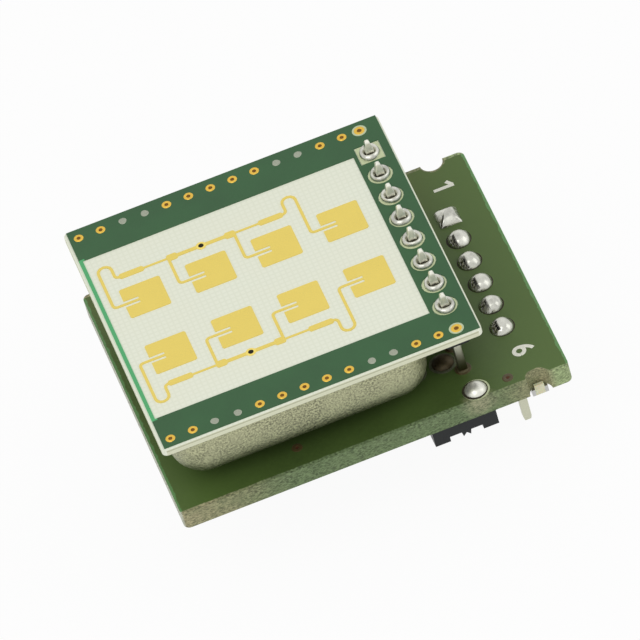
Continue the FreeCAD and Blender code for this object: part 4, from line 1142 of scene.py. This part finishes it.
class RADAR_OT_stage(bpy.types.Operator):
    """Set the pale floor, the soft lamps, the sky and the camera at the photograph's angle"""
    bl_idname = "radar.stage"
    bl_label = "Stage"

    def execute(self, context):
        options = settings("stage_settings")
        context.scene.view_settings.view_transform = "Standard"
        self.floor(options)
        self.sky(options)
        self.lamp("key_lamp", (-0.16, -0.20, 0.30), 0.26, options.key)
        self.lamp("fill_lamp", (0.26, -0.12, 0.20), 0.22, options.fill)
        self.camera(context)
        return {"FINISHED"}

    @staticmethod
    def floor(options):
        """A wide flat sheet under the pins: white with a faint shadow, and clear when seen from below."""
        level = (OUTPUT_LOW[2] - options.floor_gap) * MM
        corners = [(1.5 * x, 1.5 * y, level) for x, y in ((-1, -1), (1, -1), (1, 1), (-1, 1))]
        mesh = bpy.data.meshes.new("floor")
        mesh.from_pydata(corners, [], [(0, 1, 2, 3)])
        floor = bpy.data.objects.new("floor", mesh)
        bpy.context.scene.collection.objects.link(floor)
        material, surface, place = start_material("floor", 0.9, specular=0.1)
        tree = material.node_tree
        slow = effect("Blotches", Vector=place, Scale=6.0, Spread=0.3)["Value"]
        put(surface["Base Color"], blended(slow, (0.88, 0.88, 0.87), (0.91, 0.91, 0.90)))
        rays = node("LightPath", tree=tree)
        white = node("Emission", tree=tree, Strength=1.0).outputs["Emission"]
        lit = tree.nodes["Principled BSDF"].outputs["BSDF"]
        shown = node("MixShader", Fac=times(shown_directly(rays), 0.94), _1=lit, _2=white)
        below = times(node("NewGeometry", tree=tree).outputs["Backfacing"], rays.outputs["Is Camera Ray"])
        clear = node("BsdfTransparent", tree=tree).outputs["BSDF"]
        sheet = node("MixShader", Fac=below, _1=shown.outputs["Shader"], _2=clear)
        put(tree.nodes["Material Output"].inputs["Surface"], sheet.outputs["Shader"])
        mesh.materials.append(material)

    @staticmethod
    def sky(options):
        """An even white sky: full white where it is seen or mirrored, weaker as a light."""
        world = bpy.data.worlds.new("sky")
        bpy.context.scene.world = world
        world.use_nodes = True
        tree = world.node_tree
        shown = shown_directly(node("LightPath", tree=tree))
        background = tree.nodes["Background"].inputs
        background["Color"].default_value = (1, 1, 1, 1)
        put(background["Strength"], maths("MULTIPLY_ADD", shown, 1 - options.sky, options.sky))

    @staticmethod
    def lamp(name, place, size, power):
        """A square soft lamp that faces the module, with its place and size in metres."""
        data = bpy.data.lights.new(name, "AREA")
        data.shape = "SQUARE"
        data.size = size
        data.energy = power
        lamp = bpy.data.objects.new(name, data)
        target = Vector((-0.012, 0, 0.005))
        turn = (Vector(place) - target).to_track_quat("Z", "Y").to_matrix().to_4x4()
        lamp.matrix_world = Matrix.Translation(place) @ turn
        bpy.context.scene.collection.objects.link(lamp)

    @staticmethod
    def camera(context):
        """The photograph's camera: its right, up and backward directions, its place and its lens."""
        right = Vector((0.93075588, -0.30227721, -0.20572306))
        up = Vector((0.35762774, 0.63544899, 0.68432959))
        back = Vector((-0.07613073, -0.71051606, 0.6995506))
        place = Vector((-0.0773133, -0.5838879, 0.5857667))
        data = bpy.data.cameras.new("camera")
        data.sensor_width = 36
        data.lens = 629.67
        data.shift_x = 0.07735
        data.shift_y = -0.0608
        data.clip_start = 0.01
        data.clip_end = 10
        camera = bpy.data.objects.new("camera", data)
        turn = Matrix((right, up, back)).transposed().to_4x4()
        camera.matrix_world = Matrix.Translation(place) @ turn
        context.scene.collection.objects.link(camera)
        context.scene.camera = camera


OPERATORS = (
    RADAR_OT_frame_finish,
    RADAR_OT_can,
    RADAR_OT_solder,
    RADAR_OT_vias,
    RADAR_OT_pads,
    RADAR_OT_pins,
    RADAR_OT_numerals,
    RADAR_OT_stage,
)


class RADAR_PT_panel(bpy.types.Panel):
    """Lists the module's pieces, each with the button that makes it"""
    bl_idname = "RADAR_PT_panel"
    bl_label = "Radar module"
    bl_space_type = "VIEW_3D"
    bl_region_type = "UI"
    bl_category = "Radar module"

    def draw(self, context):
        for operator in OPERATORS:
            self.layout.operator(operator.bl_idname)
        for name, group in GROUPS.items():
            box = self.layout.box()
            for item in group.__annotations__:
                box.prop(settings(name), item)


def register():
    for group in GROUPS.values():
        bpy.utils.register_class(group)
    for name, group in GROUPS.items():
        setattr(bpy.types.Scene, "radar_" + name, PointerProperty(type=group))
    for item in (*OPERATORS, RADAR_PT_panel):
        bpy.utils.register_class(item)


def unregister():
    for item in (RADAR_PT_panel, *reversed(OPERATORS)):
        bpy.utils.unregister_class(item)
    for name in GROUPS:
        delattr(bpy.types.Scene, "radar_" + name)
    for group in GROUPS.values():
        bpy.utils.unregister_class(group)


def main():
    register()
    for operator in OPERATORS:
        category, name = operator.bl_idname.split(".")
        getattr(getattr(bpy.ops, category), name)()


if __name__ == "__main__":
    main()
